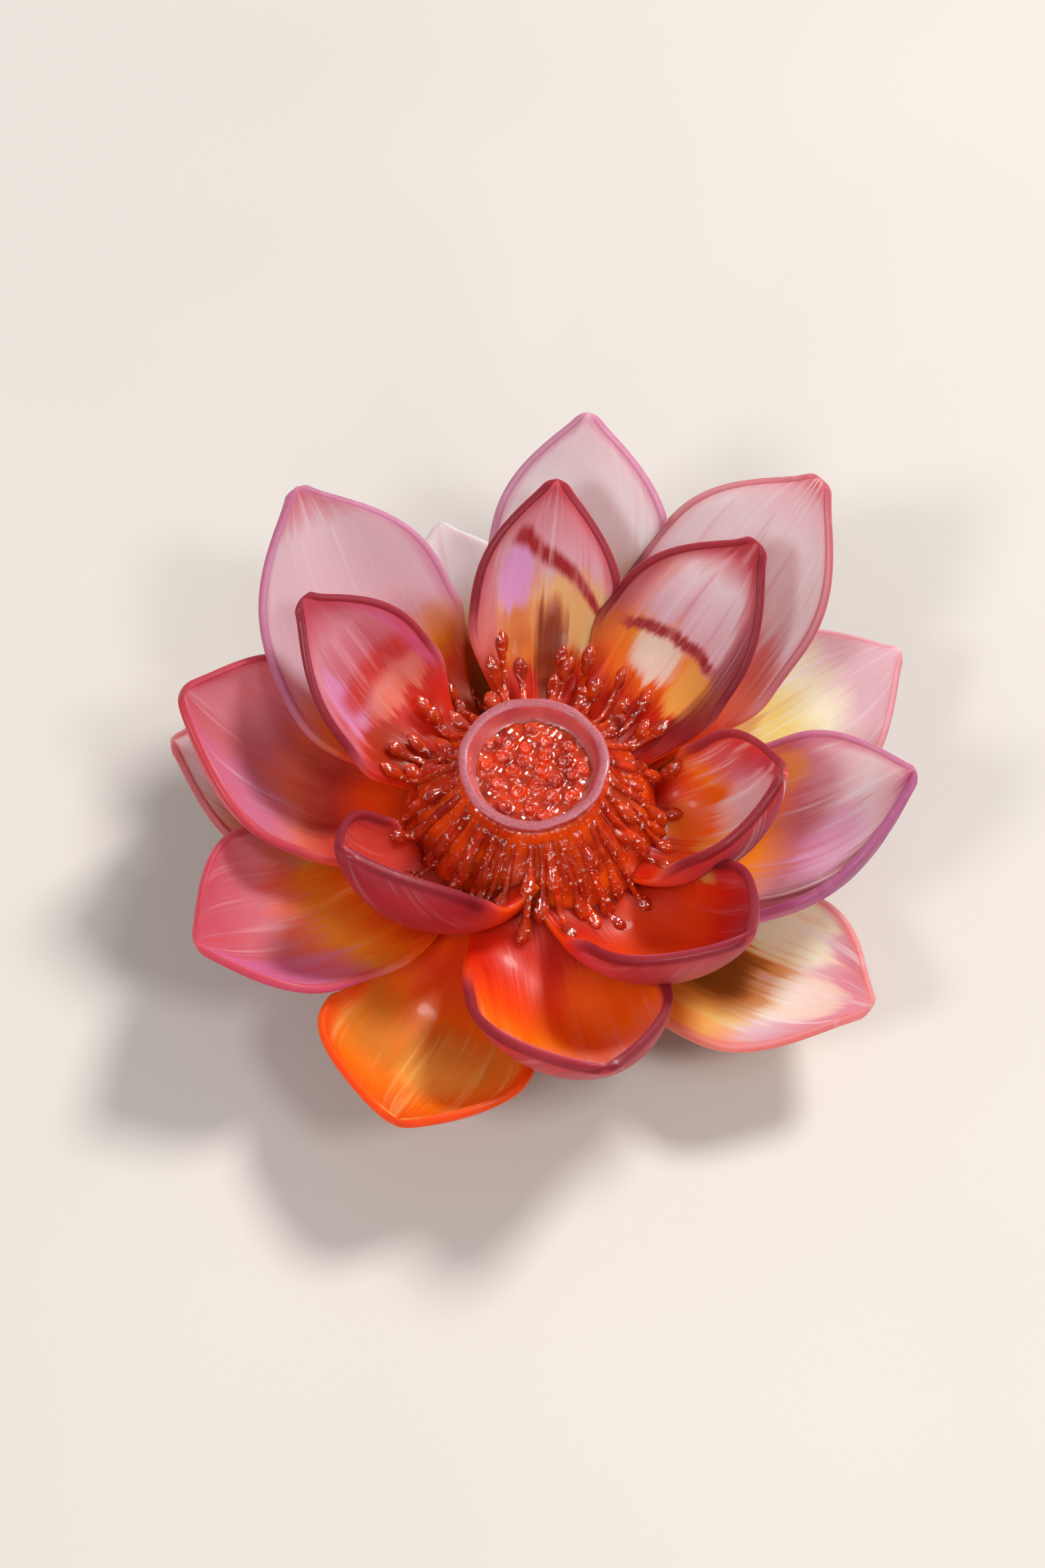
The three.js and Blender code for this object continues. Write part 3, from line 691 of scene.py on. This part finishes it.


# ---- Looks of the petals ---------------------------------------------------------------------

# A look's settings, where along is 0 at the root and 1 at the tip, and across is -1 to 1:
#   inside, outside: colours of the two faces from root to tip, and slant leans their zones.
#   patches: colour, strength, and the lowest and highest place along, then across.
#   shadow_line: a line of painted shadow across, as in painted_shadow_line_mask. edge, rim: width
#       in millimetres, strength and colour.
#   streaks, streak: strength and colour of the pale strokes. shade, dark: those of the dark ones.
#   upper: where along the strokes begin.
PLAIN_LOOK = dict(
    outside=[(0.25, FLAME), (0.42, SALMON), (0.6, DUSTY), (0.85, ROSE), (1, CRIMSON)],
    slant=0.0,
    patches=(),
    shadow_line_colour=SHADOW_LINE_RED,
    edge=(9.0, 0.5, ROSE),
    rim=(3.0, 0.75, CRIMSON),
    upper=0.34,
    streaks=0.5,
    streak=FROST,
    shade=0.45,
    dark=DUSTY,
)
LOOKS = {
    "inner_petal_1": dict(
        inside=[
            (0.26, EMBER), (0.36, ORANGE), (0.5, APRICOT), (0.62, PINK), (0.74, PINK), (0.9, DUSTY),
            (1, CRIMSON),
        ],
        patches=[
            (HONEY, 0.7, (0.3, 0.52, -0.05, 0.62)),
            (BUTTER, 0.9, (0.36, 0.66, -0.98, 0.14)),
            (CLAY, 0.7, (0.3, 0.75, 0.68, 1.2)),
            (LILAC, 0.8, (0.52, 0.76, 0.2, 0.64)),
            # The brown low on the petal is painted shade of the stamens seen through the glass.
            (BROWN, 0.95, (0.15, 0.55, -0.28, 0.1)),
        ],
        # The line across is painted shadow of the outer petals' rims.
        shadow_line=(0.722, 0.2, -0.06, (-1.1, 0.75), 0.06, 1.0), edge=(7.0, 0.7, ROSE),
        rim=(1.8, 0.95, WINE), upper=0.54, streaks=0.4,
    ),
    "inner_petal_2": dict(
        inside=[
            (0.26, EMBER), (0.36, ORANGE), (0.5, AMBER), (0.58, PINK), (0.8, PALE), (0.92, ROSE),
            (1, CRIMSON),
        ],
        patches=[
            (PEACH, 0.95, (0.36, 0.54, -0.06, 0.5)),
            (GOLD, 0.9, (0.32, 0.52, -0.72, -0.16)),
            (ROSE, 0.7, (0.55, 0.95, -1.0, -0.5)),
            # Deep wine rim colour along the lower right edge, with painted shade over it.
            (WINE, 0.85, (0.2, 0.8, -1.3, -0.62)),
            (SALMON, 0.5, (0.5, 0.8, 0.6, 1.2)),
        ],
        # The line across is painted shadow of the outer petals' rims.
        shadow_line=(0.545, -0.045, 0.0, (-0.6, 0.9), 0.04, 1.0), edge=(9.0, 0.75, GARNET),
        rim=(1.8, 0.95, WINE), streaks=0.3,
    ),
    "inner_petal_3": dict(
        inside=[
            (0.25, EMBER), (0.35, FLAME), (0.5, AMBER), (0.62, DUSTY), (0.78, ROSE), (1, CRIMSON),
        ],
        outside=[(0.2, FLAME), (0.36, SALMON), (0.6, ROSE), (0.85, ROSE), (1, CRIMSON)],
        patches=[
            (ORANGE, 0.9, (0.25, 0.55, -0.1, 0.5)),
            (FROST, 0.5, (0.5, 0.85, -0.3, 0.35)),
            (BRICK, 0.6, (0.5, 0.9, 0.55, 1.1)),
            (GOLD, 0.5, (0.4, 0.58, -0.5, -0.05)),
        ],
        edge=(9.0, 0.7, BRICK), rim=(2.6, 0.9, WINE), streaks=0.75, dark=BRICK,
    ),
    "inner_petal_4": dict(
        inside=[(0.25, EMBER), (0.45, FLAME), (0.65, EMBER), (0.85, CRIMSON), (1, WINE)],
        outside=[(0.25, FLAME), (0.36, BRICK), (0.5, ROSE), (0.75, BERRY), (1, BERRY)],
        patches=[(GOLD, 0.8, (0.28, 0.58, 0.8, 0.95)), (FLAME, 0.6, (0.2, 0.6, -0.3, 0.4))],
        edge=(7.0, 0.5, CRIMSON), rim=(3.0, 0.95, WINE), streaks=0.1, dark=CRIMSON,
    ),
    "inner_petal_5": dict(
        inside=[
            (0.24, EMBER), (0.4, FLAME), (0.6, ORANGE), (0.74, SALMON), (0.86, DUSTY), (1, CRIMSON),
        ],
        outside=[(0.25, FLAME), (0.4, BRICK), (0.55, BRICK), (0.75, BERRY), (1, BERRY)],
        patches=[(ORANGE, 0.6, (0.3, 0.55, 0.0, 0.7))],
        edge=(6.0, 0.6, CRIMSON), rim=(3.0, 0.95, WINE), streaks=0.1, dark=FLAME,
    ),
    "inner_petal_6": dict(
        inside=[(0.2, EMBER), (0.4, BRICK), (0.55, BRICK), (0.75, BRICK), (1, CRIMSON)],
        outside=[(0.2, FLAME), (0.3, BRICK), (0.6, CRIMSON), (0.8, CRIMSON), (1, WINE)],
        edge=(6.0, 0.6, CRIMSON), rim=(3.2, 0.95, WINE), streaks=0.15, dark=CRIMSON,
    ),
    "inner_petal_7": dict(
        inside=[
            (0.34, EMBER), (0.42, BRICK), (0.5, CLAY), (0.57, ROSE), (0.8, DUSTY), (0.92, ROSE),
            (1, CRIMSON),
        ],
        patches=[
            (APRICOT, 0.45, (0.4, 0.56, -0.75, 0.05)),
            # The lilac patch is a painted highlight.
            (LILAC, 0.5, (0.46, 0.74, 0.2, 0.55)),
            (BROWN, 0.6, (0.2, 0.42, 0.0, 0.9)),
            (ORCHID, 0.6, (0.45, 0.9, -1.2, -0.8)),
        ],
        # The line across is painted shadow of the outer petals' rims.
        shadow_line=(0.57, -0.02, 0.05, (-0.9, 0.5), 0.09, 0.8), shadow_line_colour=BRICK, edge=(7.0, 0.7, ROSE),
        rim=(1.8, 0.95, WINE), streaks=0.15, dark=ROSE,
    ),
    "middle_petal_1": dict(
        inside=[(0.3, ORANGE), (0.42, CREAM), (0.58, CREAM), (0.7, FROST), (0.85, PALE), (1, PINK)],
        edge=(5.5, 0.65, LAVENDER), rim=(1.4, 0.6, MAUVE), streaks=0.8, shade=0.35, dark=PINK,
    ),
    "middle_petal_2": dict(
        inside=[
            (0.3, FLAME), (0.42, APRICOT), (0.55, PINK), (0.66, PALE), (0.85, PALE), (0.95, PINK),
            (1, ROSE),
        ],
        patches=[(SALMON, 0.6, (0.3, 0.6, -1.2, -0.3))],
        edge=(4.5, 0.5, DUSTY), rim=(1.4, 0.7, GARNET), streaks=0.7, shade=0.55,
    ),
    "middle_petal_3": dict(
        inside=[
            (0.3, FLAME), (0.42, AMBER), (0.55, DUSTY), (0.65, PINK), (0.8, PALE), (0.92, PINK),
            (1, PLUM),
        ],
        outside=[(0.3, FLAME), (0.5, SALMON), (0.6, ORCHID), (0.85, PLUM), (1, PLUM)],
        patches=[
            (GOLD, 0.8, (0.38, 0.66, 0.6, 1.0)),
            (LILAC, 0.4, (0.55, 0.8, -0.45, 0.1)),
            (WINE, 1.0, (0.3, 1.0, -1.4, -0.45)),
        ],
        slant=-0.12, edge=(7.0, 0.6, MAUVE), rim=(1.6, 0.7, MAUVE), streaks=0.55, shade=0.5,
    ),
    "middle_petal_4": dict(
        inside=[
            (0.24, FLAME), (0.34, ORANGE), (0.48, AMBER), (0.58, SALMON), (0.7, CLAY), (0.88, ROSE),
            (1, ROSE),
        ],
        outside=[(0.3, ORANGE), (0.5, APRICOT), (0.7, ORCHID), (1, ROSE)],
        patches=[(ORCHID, 0.4, (0.5, 1.0, 0.3, 1.0))],
        edge=(5.0, 0.5, ROSE), rim=(1.5, 0.65, CRIMSON), streaks=0.2, shade=0.4, dark=BRICK,
    ),
    "middle_petal_5": dict(
        inside=[(0.26, FLAME), (0.36, BRICK), (0.5, SALMON), (0.64, CLAY), (0.82, CLAY), (1, ROSE)],
        patches=[(ORCHID, 0.25, (0.5, 0.95, 0.15, 0.85)), (DUSTY, 0.5, (0.6, 1.0, -0.9, -0.2))],
        edge=(6.0, 0.6, ROSE), rim=(1.8, 0.8, CRIMSON), streaks=0.25, shade=0.12, dark=BRICK,
    ),
    "middle_petal_6": dict(
        inside=[
            (0.28, FLAME), (0.38, AMBER), (0.48, APRICOT), (0.56, PINK), (0.7, HAZE), (0.9, HAZE),
            (1, ROSE),
        ],
        edge=(5.5, 0.65, LAVENDER), rim=(1.5, 0.6, MAUVE), streaks=0.3, shade=0.35, dark=PINK,
    ),
    "lower_petal_1": dict(inside=[(0.3, AMBER), (0.5, CREAM), (0.75, PALE), (1, PINK)]),
    "lower_petal_2": dict(
        # The ochre near the root is painted shadow of the petals above.
        inside=[
            (0.3, OCHRE), (0.42, YELLOW), (0.61, YELLOW), (0.72, CREAM), (0.84, HAZE), (1, PINK),
        ],
        patches=[(OCHRE, 0.5, (0.3, 0.52, 0.0, 0.7)), (PINK, 0.5, (0.6, 0.95, -1.1, -0.4))],
        edge=(4.0, 0.45, DUSTY), rim=(1.3, 0.6, CLAY), streaks=0.6, shade=0.25, dark=PINK,
    ),
    "lower_petal_3": dict(
        inside=[
            (0.3, FLAME), (0.42, OCHRE), (0.5, GOLD), (0.62, YELLOW), (0.74, HAZE), (0.88, DUSTY),
            (1, DUSTY),
        ],
        outside=[(0.3, FLAME), (0.6, AMBER), (0.85, SALMON), (1, DUSTY)],
        patches=[
            # The honey and umber near the root are painted shadow of the petals above, darkest by
            # the root.
            (HONEY, 0.7, (0.3, 0.72, -0.65, 0.22)),
            (SHADOW_UMBER, 0.85, (0.32, 0.6, -0.4, 0.14)),
            (CREAM, 1.0, (0.46, 0.78, 0.24, 0.98)),
            (CREAM, 0.5, (0.7, 0.92, -0.5, 0.2)),
            (ORANGE, 0.6, (0.3, 0.75, -1.3, -0.7)),
        ],
        edge=(4.0, 0.5, SALMON), rim=(1.3, 0.55, CLAY), upper=0.56, streaks=0.5, shade=0.3,
        dark=APRICOT,
    ),
    "lower_petal_4": dict(
        inside=[
            (0.25, FLAME), (0.4, ORANGE), (0.55, HONEY), (0.7, HONEY), (0.85, ORANGE), (1, FLAME),
        ],
        outside=[(0.3, FLAME), (0.7, FLAME), (1, FLAME)],
        patches=[(GOLD, 0.4, (0.5, 0.8, -0.3, 0.3)), (OCHRE, 0.4, (0.4, 0.75, -0.8, -0.2))],
        edge=(9.0, 0.9, FLAME), rim=(2.4, 0.8, FLAME), streak=YELLOW, streaks=0.3, dark=ORANGE,
    ),
    "lower_petal_5": dict(
        inside=[(0.3, FLAME), (0.5, SALMON), (0.75, APRICOT), (0.9, PALE), (1, PINK)],
        outside=[(0.3, FLAME), (0.5, SALMON), (0.75, SALMON), (0.9, PINK), (1, PINK)],
        edge=(5.0, 0.4, SALMON),
    ),
    "lower_petal_6": dict(
        # The ochre near the root is painted shadow of the petals above.
        inside=[(0.3, OCHRE), (0.55, OCHRE), (0.68, CREAM), (0.8, FROST), (1, PALE)],
        edge=(4.0, 0.4, PALE), rim=(2.0, 0.5, PINK),
    ),
}


# ---- Petals ----------------------------------------------------------------------------------

pieces = {}
trees = []
inner_faces = []
for name, petal in PETALS.items():
    points, attributes = petal_grid(petal)
    points = tuck(points, inner_faces)
    inner_faces.append(inner_face(points))
    faces = ring_faces(*points.shape[:2])
    piece = new_mesh(name + "_glass", points.reshape(-1, 3), faces, attributes)
    piece.data.materials.append(petal_material(name, {**PLAIN_LOOK, **LOOKS[name]}))
    pieces[name] = piece
    trees.append(search_tree(piece))

# ---- Heart -----------------------------------------------------------------------------------

HEART_SIDES = 96
HEART_PROFILE = [
    (0, 0), (27.5, 0), (28.6, 0.4), (29.6, 1.6), (30, 3), (29.2, 5), (27.6, 8), (26.8, 11),
    (26.4, 17), (26, 24), (24.6, 30), (22, 36), (20.4, 39), (18, 41), (0, 41),
]

heart = turned_mesh("heart_glass", HEART_PROFILE, HEART_SIDES)
heart.data.materials.append(
    glossy_material("heart", FLAME, AMBER, roughness=0.3, scale=40.0, bump=0.0006)
)
pieces["heart"] = heart

# ---- Seed cup --------------------------------------------------------------------------------

CUP_SIDES = 160
CUP_PROFILE = [
    (0, 41.3), (17, 41.3), (18, 46), (21, 56), (22.8, 61), (23.9, 64.2), (24.35, 65.3),
    (24.25, 65.8), (23.8, 66), (22.8, 66.05), (21.9, 66), (21.35, 65.8), (21.0, 65.3),
    (20.6, 64), (20.1, 62.2), (19.5, 60.8), (18.6, 60), (17, 59.6), (13, 59.4), (7, 59.4),
    (0, 59.4),
]
FLOOR_HEIGHT = 60
# Beyond this radius the cup is uneven, in full when UNEVEN_OVER further out.
UNEVEN_FROM = 15
UNEVEN_OVER = 9
# Waves round the cup: height, number and phase.
UNEVEN_WAVES = ((0.25, 3, 1), (0.18, 7, 0), (0.12, 13, 2))
UNEVEN_RIM = ((0.15, 5, 2),)


def waves(parts, angle):
    """The sum of sine waves at an angle."""
    return sum(height * math.sin(number * angle + phase) for height, number, phase in parts)


def cup_ripple(radius, height, a):
    """Makes the cup slightly uneven, and its rim not quite level."""
    if radius < UNEVEN_FROM:
        return radius, height
    wider = waves(UNEVEN_WAVES, a) * (radius - UNEVEN_FROM) / UNEVEN_OVER
    return radius + wider, height + waves(UNEVEN_RIM, a) * (height > FLOOR_HEIGHT)


cup = turned_mesh("seed_cup_glass", CUP_PROFILE, CUP_SIDES, cup_ripple)
pieces["seed_cup"] = cup


def cup_material():
    """A ground rim on top, a rose wall inside, and a red wall that is frosted near the rim."""
    g = Graph("cup")
    place = g.place()
    split = g.node("SeparateXYZ", {0: place})
    x, y, z = split.outputs
    radius = g.node("VectorMath", {0: g.vector(x, y)}, operation="LENGTH").outputs["Value"]
    top = g.product(g.smooth(radius, 0.0209, 0.0214), g.smooth(z, 0.0650, 0.0658))
    speck = g.noise(place, 1500.0, 2.0, 0.7)
    speckle = g.scaled(speck, 1.0, 0.5)
    drift = g.scaled(g.noise(place, 90.0, 3.0), 1.0, 0.5)
    frosted = g.ramp(speckle, [(0.3, linear("8c3c48")), (0.7, linear("b46874"))])
    wall = g.ramp(drift, [(0.3, linear("c04850")), (0.7, linear("d8706c"))])
    outer = g.mix(g.smooth(z, 0.056, 0.063), EMBER, linear("b04048"))
    body = g.mix(g.smooth(radius, 0.0206, 0.0216), wall, outer)
    g.set(
        Base_Color=g.mix(top, body, frosted),
        Roughness=g.scaled(top, 0.3, 0.22),
        IOR=1.5,
        Normal=g.bump(speck, 0.3, 0.0004),
        Subsurface_Weight=1.0,
        Subsurface_Radius=(1.0, 0.4, 0.35),
        Subsurface_Scale=0.006,
        Transmission_Weight=0.1,
        Coat_Weight=0.2,
        Coat_Roughness=0.08,
    )
    return g.material


cup.data.materials.append(cup_material())

# Seeds spread over a disc of SEED_SPREAD, on a floor of radius SEED_FLOOR.
SEED_COUNT = 24
SEED_SPREAD = 17.2
SEED_FLOOR = 19.2
FLOOR_FADE = 1.6
SEED_RINGS = 76
RING_CROWDING = 1.15
SEED_SIDES = 220
# A seed of size 1: a ring with a nib in its middle, both on a low mound.
SEED_REACH = 4.5
RING_RADIUS = 1.55
RING_WIDTH = 0.62
RING_HEIGHT = 1.45
NIB_WIDTH = 0.42
NIB_HEIGHT = 0.75
MOUND_WIDTH = 2.6
MOUND_HEIGHT = 0.35

rng = random.Random(5)
seeds = []
for i in range(SEED_COUNT):
    turn = i * math.pi * (3 - math.sqrt(5)) + rng.uniform(-0.12, 0.12)
    reach = SEED_SPREAD * math.sqrt((i + 0.4) / SEED_COUNT) + rng.uniform(-0.5, 0.5)
    size = rng.uniform(0.95, 1.25)
    height = rng.uniform(0.8, 1.2)
    seeds.append((reach * math.cos(turn), reach * math.sin(turn), size, height))


def seed_relief(x, y):
    """Height of the seeds and of the wavy glass between them, in millimetres."""
    relief = 0.22 * math.sin(0.9 * x + 0.4 * y) * math.sin(0.7 * y + 1)
    relief += 0.12 * math.sin(2.1 * x - 1.7 * y)
    crest = 0
    for seed_x, seed_y, size, height in seeds:
        far = math.hypot(x - seed_x, y - seed_y)
        if far < SEED_REACH * size:
            ring = math.exp(-(((far / size - RING_RADIUS) / RING_WIDTH) ** 2))
            nib = NIB_HEIGHT * math.exp(-((far / (NIB_WIDTH * size)) ** 2))
            mound = MOUND_HEIGHT * math.exp(-((far / (MOUND_WIDTH * size)) ** 4))
            crest = max(crest, height * (RING_HEIGHT * ring + nib) + mound)
    return relief + crest


def seed_ripple(radius, height, a):
    """Raises the seeds from the top of the floor, and fades them out at its edge."""
    if height < FLOOR_HEIGHT - 0.3:
        return radius, height
    fade = min(1, (SEED_FLOOR - radius) / FLOOR_FADE)
    return radius, height + fade * seed_relief(radius * math.cos(a), radius * math.sin(a))


seed_profile = [(0, 57.5), (17, 57.5), (18.8, 58.5), (SEED_FLOOR, 59.6)]
for k in range(SEED_RINGS + 1):
    seed_profile.append((SEED_FLOOR * (1 - (k / SEED_RINGS) ** RING_CROWDING), FLOOR_HEIGHT))
floor_of_cup = turned_mesh("seeds_glass", seed_profile, SEED_SIDES, seed_ripple)
# The seeds carry a few painted glints.
floor_of_cup.data.materials.append(
    glossy_material(
        "seeds", linear("7c1402"), linear("c43808"), roughness=0.03, scale=150.0, clear=0.1,
        bump=0.001, depth=0.004, coat=0.4, glint=0.2,
    )
)

# ---- Stamens ---------------------------------------------------------------------------------

FILAMENT_FROM = 24
FILAMENT_STEPS = 11
HEAD_STEPS = 10
HEAD_LENGTH = 7.5
STAMEN_SIDES = 10
# How many stamens a row has, how far out they reach, and by how much that differs.
STAMEN_ROWS = ((18, 36.5, 3), (24, 43.5, 4), (26, 49.5, 5))
# The stamens at the back reach further, and rise from LIFT_FROM of their length on.
BACK_REACH = 7
BACK_LIFT = 10
LIFT_FROM = 0.3
# Swelling of the head, thinning of the filament along its length, and radius of its very end.
BULB = 1.2
THINNING = 0.15
END_GIRTH = 0.25
# How deep a filament lies in the glass, and how much deeper inside the radius of FOOT_END.
SINK = 0.6
FOOT_SINK = 1.6
FOOT_END = 31
FOOT_FADE = 5
# The steepest fall of a filament, and where it lies when there is no glass under it.
STEEPEST = 1.8
NO_GLASS_HEIGHT = 31
RAY_HEIGHT_METRES = 0.2

rng = random.Random(3)
stamen_plan = []
for count, reach_to, spread in STAMEN_ROWS:
    offset = rng.random()
    for i in range(count):
        turn = (i + offset + rng.uniform(-0.3, 0.3)) * 2 * math.pi / count
        reach = reach_to + BACK_REACH * max(0, math.sin(turn)) + spread * rng.uniform(-0.5, 0.5)
        bend = rng.uniform(-0.06, 0.06)
        thick = rng.uniform(1.05, 1.4)
        head = HEAD_LENGTH * rng.uniform(0.85, 1.15)
        stamen_plan.append((turn, reach, bend, thick, head))

# The skirt of glass that the stamens lie on, from its foot inside the petals up to the cup.
SKIRT = [
    (45, 20), (43, 27), (40.5, 33.5), (38, 38), (34, 42.8), (30, 47), (27, 50.7), (25, 54.2),
    (23, 58.5),
]
SKIRT_FLOOR = [(0, 19), (43, 19)]
SKIRT_TOP = [(21, 59), (0, 59)]
SKIRT_ROWS = 60
SKIRT_SIDES = 480
# It is lower in front: by how much, how far round, from which radius on and over how much.
SKIRT_DIP = 6
DIP_SPREAD = 0.3
DIP_FROM = 31
DIP_OVER = 11
DIP_CURVE = 1.3
# Coarse and fine flutes, and the ridge under each stamen.
FLUTES = 31
FLUTE_HEIGHT = 0.45
FINE_FLUTES = 67
FINE_FLUTE_HEIGHT = 0.25
RIDGE_HEIGHT = 0.8
RIDGE_WIDTH = 1.4

skirt_radii = np.linspace(45, 23, SKIRT_ROWS)
skirt_heights = np.interp(-skirt_radii, [-r for r, _ in SKIRT], [h for _, h in SKIRT])


def skirt_ripple(radius, height, a):
    """The flutes of the skirt, its dip in front and the ridges that carry the stamens."""
    if radius < 22 or height < 20:
        return radius, height
    rise = FLUTE_HEIGHT * math.sin(FLUTES * a + 2 * math.sin(3 * a) + radius / 9)
    rise += FINE_FLUTE_HEIGHT * math.sin(FINE_FLUTES * a + radius / 4)
    dip = SKIRT_DIP * max(0, DIP_SPREAD - math.sin(a)) / (1 + DIP_SPREAD)
    rise -= dip * min(1, max(0, (radius - DIP_FROM) / DIP_OVER)) ** DIP_CURVE
    for turn, reach, bend, thick, head in stamen_plan:
        if radius < reach - head / 2:
            line = turn + bend * ((radius - FILAMENT_FROM) / (reach - FILAMENT_FROM)) ** 2
            beside = radius * math.remainder(a - line, 2 * math.pi)
            rise += RIDGE_HEIGHT * thick * math.exp(-((beside / RIDGE_WIDTH) ** 2))
    return radius, height + rise


skirt_profile = SKIRT_FLOOR + list(zip(skirt_radii, skirt_heights)) + SKIRT_TOP
skirt = turned_mesh("stamen_skirt_glass", skirt_profile, SKIRT_SIDES, skirt_ripple)
trees.append(search_tree(skirt))


def top_at(x, y):
    """The height of the highest glass under a place, in millimetres."""
    above, down = Vector((x * MM, y * MM, RAY_HEIGHT_METRES)), Vector((0, 0, -1))
    hits = [tree.ray_cast(above, down)[0] for tree in trees]
    return max([hit.z / MM for hit in hits if hit], default=NO_GLASS_HEIGHT)


def stamen_rings(turn, reach, bend, thick, head):
    """The points of one stamen, ring by ring: a filament that lies on the glass, and a head."""
    neck = reach - head
    rounded = neck + head * np.sin(np.linspace(0, np.pi / 2, HEAD_STEPS))
    radii = np.concatenate([np.linspace(FILAMENT_FROM, neck, FILAMENT_STEPS)[:-1], rounded])
    run = (radii - FILAMENT_FROM) / (reach - FILAMENT_FROM)
    turns = turn + bend * run**2
    heights = np.array([top_at(r * math.cos(a), r * math.sin(a)) for r, a in zip(radii, turns)])
    for k in range(1, len(radii)):
        heights[k] = max(heights[k], heights[k - 1] - STEEPEST * (radii[k] - radii[k - 1]))
    for _ in range(3):
        heights[1:-1] = (heights[:-2] + 2 * heights[1:-1] + heights[2:]) / 4
    u = np.clip((radii - neck) / head, 0, 1)
    bulb = BULB * np.sin(np.pi * np.minimum(u, 0.999) ** 1.5) ** 0.8
    girth = thick * ((1 - THINNING * run) * (1 - u**6) + bulb)
    girth[-1] = END_GIRTH
    sink = SINK + FOOT_SINK * np.clip((FOOT_END - radii) / FOOT_FADE, 0, 1) - SINK * u
    rising = np.clip((run - LIFT_FROM) / (1 - LIFT_FROM), 0, 1) ** 1.5
    lift = BACK_LIFT * max(0, math.sin(turn)) * rising
    points = []
    for k, radius in enumerate(radii):
        before, after = max(k - 1, 0), min(k + 1, len(radii) - 1)
        slope = math.atan2(heights[after] - heights[before], radii[after] - radii[before])
        out = np.array([math.cos(turns[k]), math.sin(turns[k]), 0])
        side = np.array([-out[1], out[0], 0])
        upward = np.array([0, 0, math.cos(slope)]) - out * math.sin(slope)
        middle = out * radius + np.array([0, 0, heights[k] - sink[k] + lift[k]])
        for c in range(STAMEN_SIDES):
            a = 2 * math.pi * c / STAMEN_SIDES
            points.append(middle + girth[k] * (side * math.cos(a) + upward * math.sin(a)))
    return points


stamen_points, stamen_faces = [], []
for plan in stamen_plan:
    rings = stamen_rings(*plan)
    rows = len(rings) // STAMEN_SIDES
    stamen_faces += ring_faces(rows, STAMEN_SIDES, offset=len(stamen_points))
    stamen_points += rings
stamens = new_mesh("stamens_glass", stamen_points, stamen_faces)
# The stamens and the skirt carry painted glints.
stamens.data.materials.append(
    glossy_material(
        "stamens", linear("981604"), linear("d8440c"), roughness=0.03, scale=110.0, clear=0.35,
        bump=0.002, depth=0.003, coat=1.0, glint=0.8,
    )
)
skirt.data.materials.append(
    glossy_material(
        "skirt", linear("a81c04"), linear("e84c06"), roughness=0.06, scale=60.0, clear=0.0,
        bump=0.0012, depth=0.008, coat=0.35, glint=0.2,
    )
)
pieces["stamens"] = stamens

# ---- Everything rides on the one body --------------------------------------------------------

for node, piece in pieces.items():
    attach(piece, "root")
    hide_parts(node)
for piece in (floor_of_cup, skirt):
    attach(piece, "root")

# ---- Floor and light, in metres --------------------------------------------------------------

FLOOR_HALF = 3
SKY_COLOUR = (1.0, 0.985, 0.96, 1)
SKY_STRENGTH = 0.3
KEY_COLOUR = (1.0, 0.975, 0.945)
FILL_COLOUR = (1.0, 0.98, 0.96)
AIM_HEIGHT = 0.04

floor_corners = [(-FLOOR_HALF, -FLOOR_HALF, 0), (FLOOR_HALF, -FLOOR_HALF, 0)]
floor_corners += [(FLOOR_HALF, FLOOR_HALF, 0), (-FLOOR_HALF, FLOOR_HALF, 0)]
floor_mesh = bpy.data.meshes.new("floor")
floor_mesh.from_pydata(floor_corners, [], [(0, 1, 2, 3)])
floor = bpy.data.objects.new("floor", floor_mesh)
bpy.context.scene.collection.objects.link(floor)
floor_look = Graph("floor")
speckle = floor_look.scaled(floor_look.noise(floor_look.place(), 3.0), 1.0, 0.5)
floor_look.set(
    Base_Color=floor_look.ramp(speckle, [(0.3, linear("bdb8b3")), (0.7, linear("c3beb9"))]),
    Roughness=0.8,
)
floor.data.materials.append(floor_look.material)

world = bpy.data.worlds.new("world")
bpy.context.scene.world = world
world.use_nodes = True
sky = world.node_tree.nodes["Background"].inputs
sky["Color"].default_value = SKY_COLOUR
sky["Strength"].default_value = SKY_STRENGTH


def area_light(name, azimuth, elevation, distance, size, power, colour):
    """A round lamp that looks at the middle of the flower, from angles in degrees."""
    light = bpy.data.lights.new(name, "AREA")
    light.shape = "DISK"
    light.size = size
    light.energy = power
    light.color = colour
    made = bpy.data.objects.new(name, light)
    a, e = math.radians(azimuth), math.radians(elevation)
    direction = Vector((math.cos(e) * math.cos(a), math.cos(e) * math.sin(a), math.sin(e)))
    made.location = direction * distance + Vector((0, 0, AIM_HEIGHT))
    made.rotation_euler = direction.to_track_quat("Z", "Y").to_euler()
    bpy.context.scene.collection.objects.link(made)


area_light("key", 43, 51, distance=3.0, size=0.75, power=95, colour=KEY_COLOUR)
area_light("fill", -140, 48, distance=2.2, size=0.5, power=18, colour=FILL_COLOUR)
area_light("side", -35, 55, distance=2.2, size=0.5, power=15, colour=FILL_COLOUR)
area_light("front", -100, 26, distance=2.2, size=0.3, power=4, colour=FILL_COLOUR)
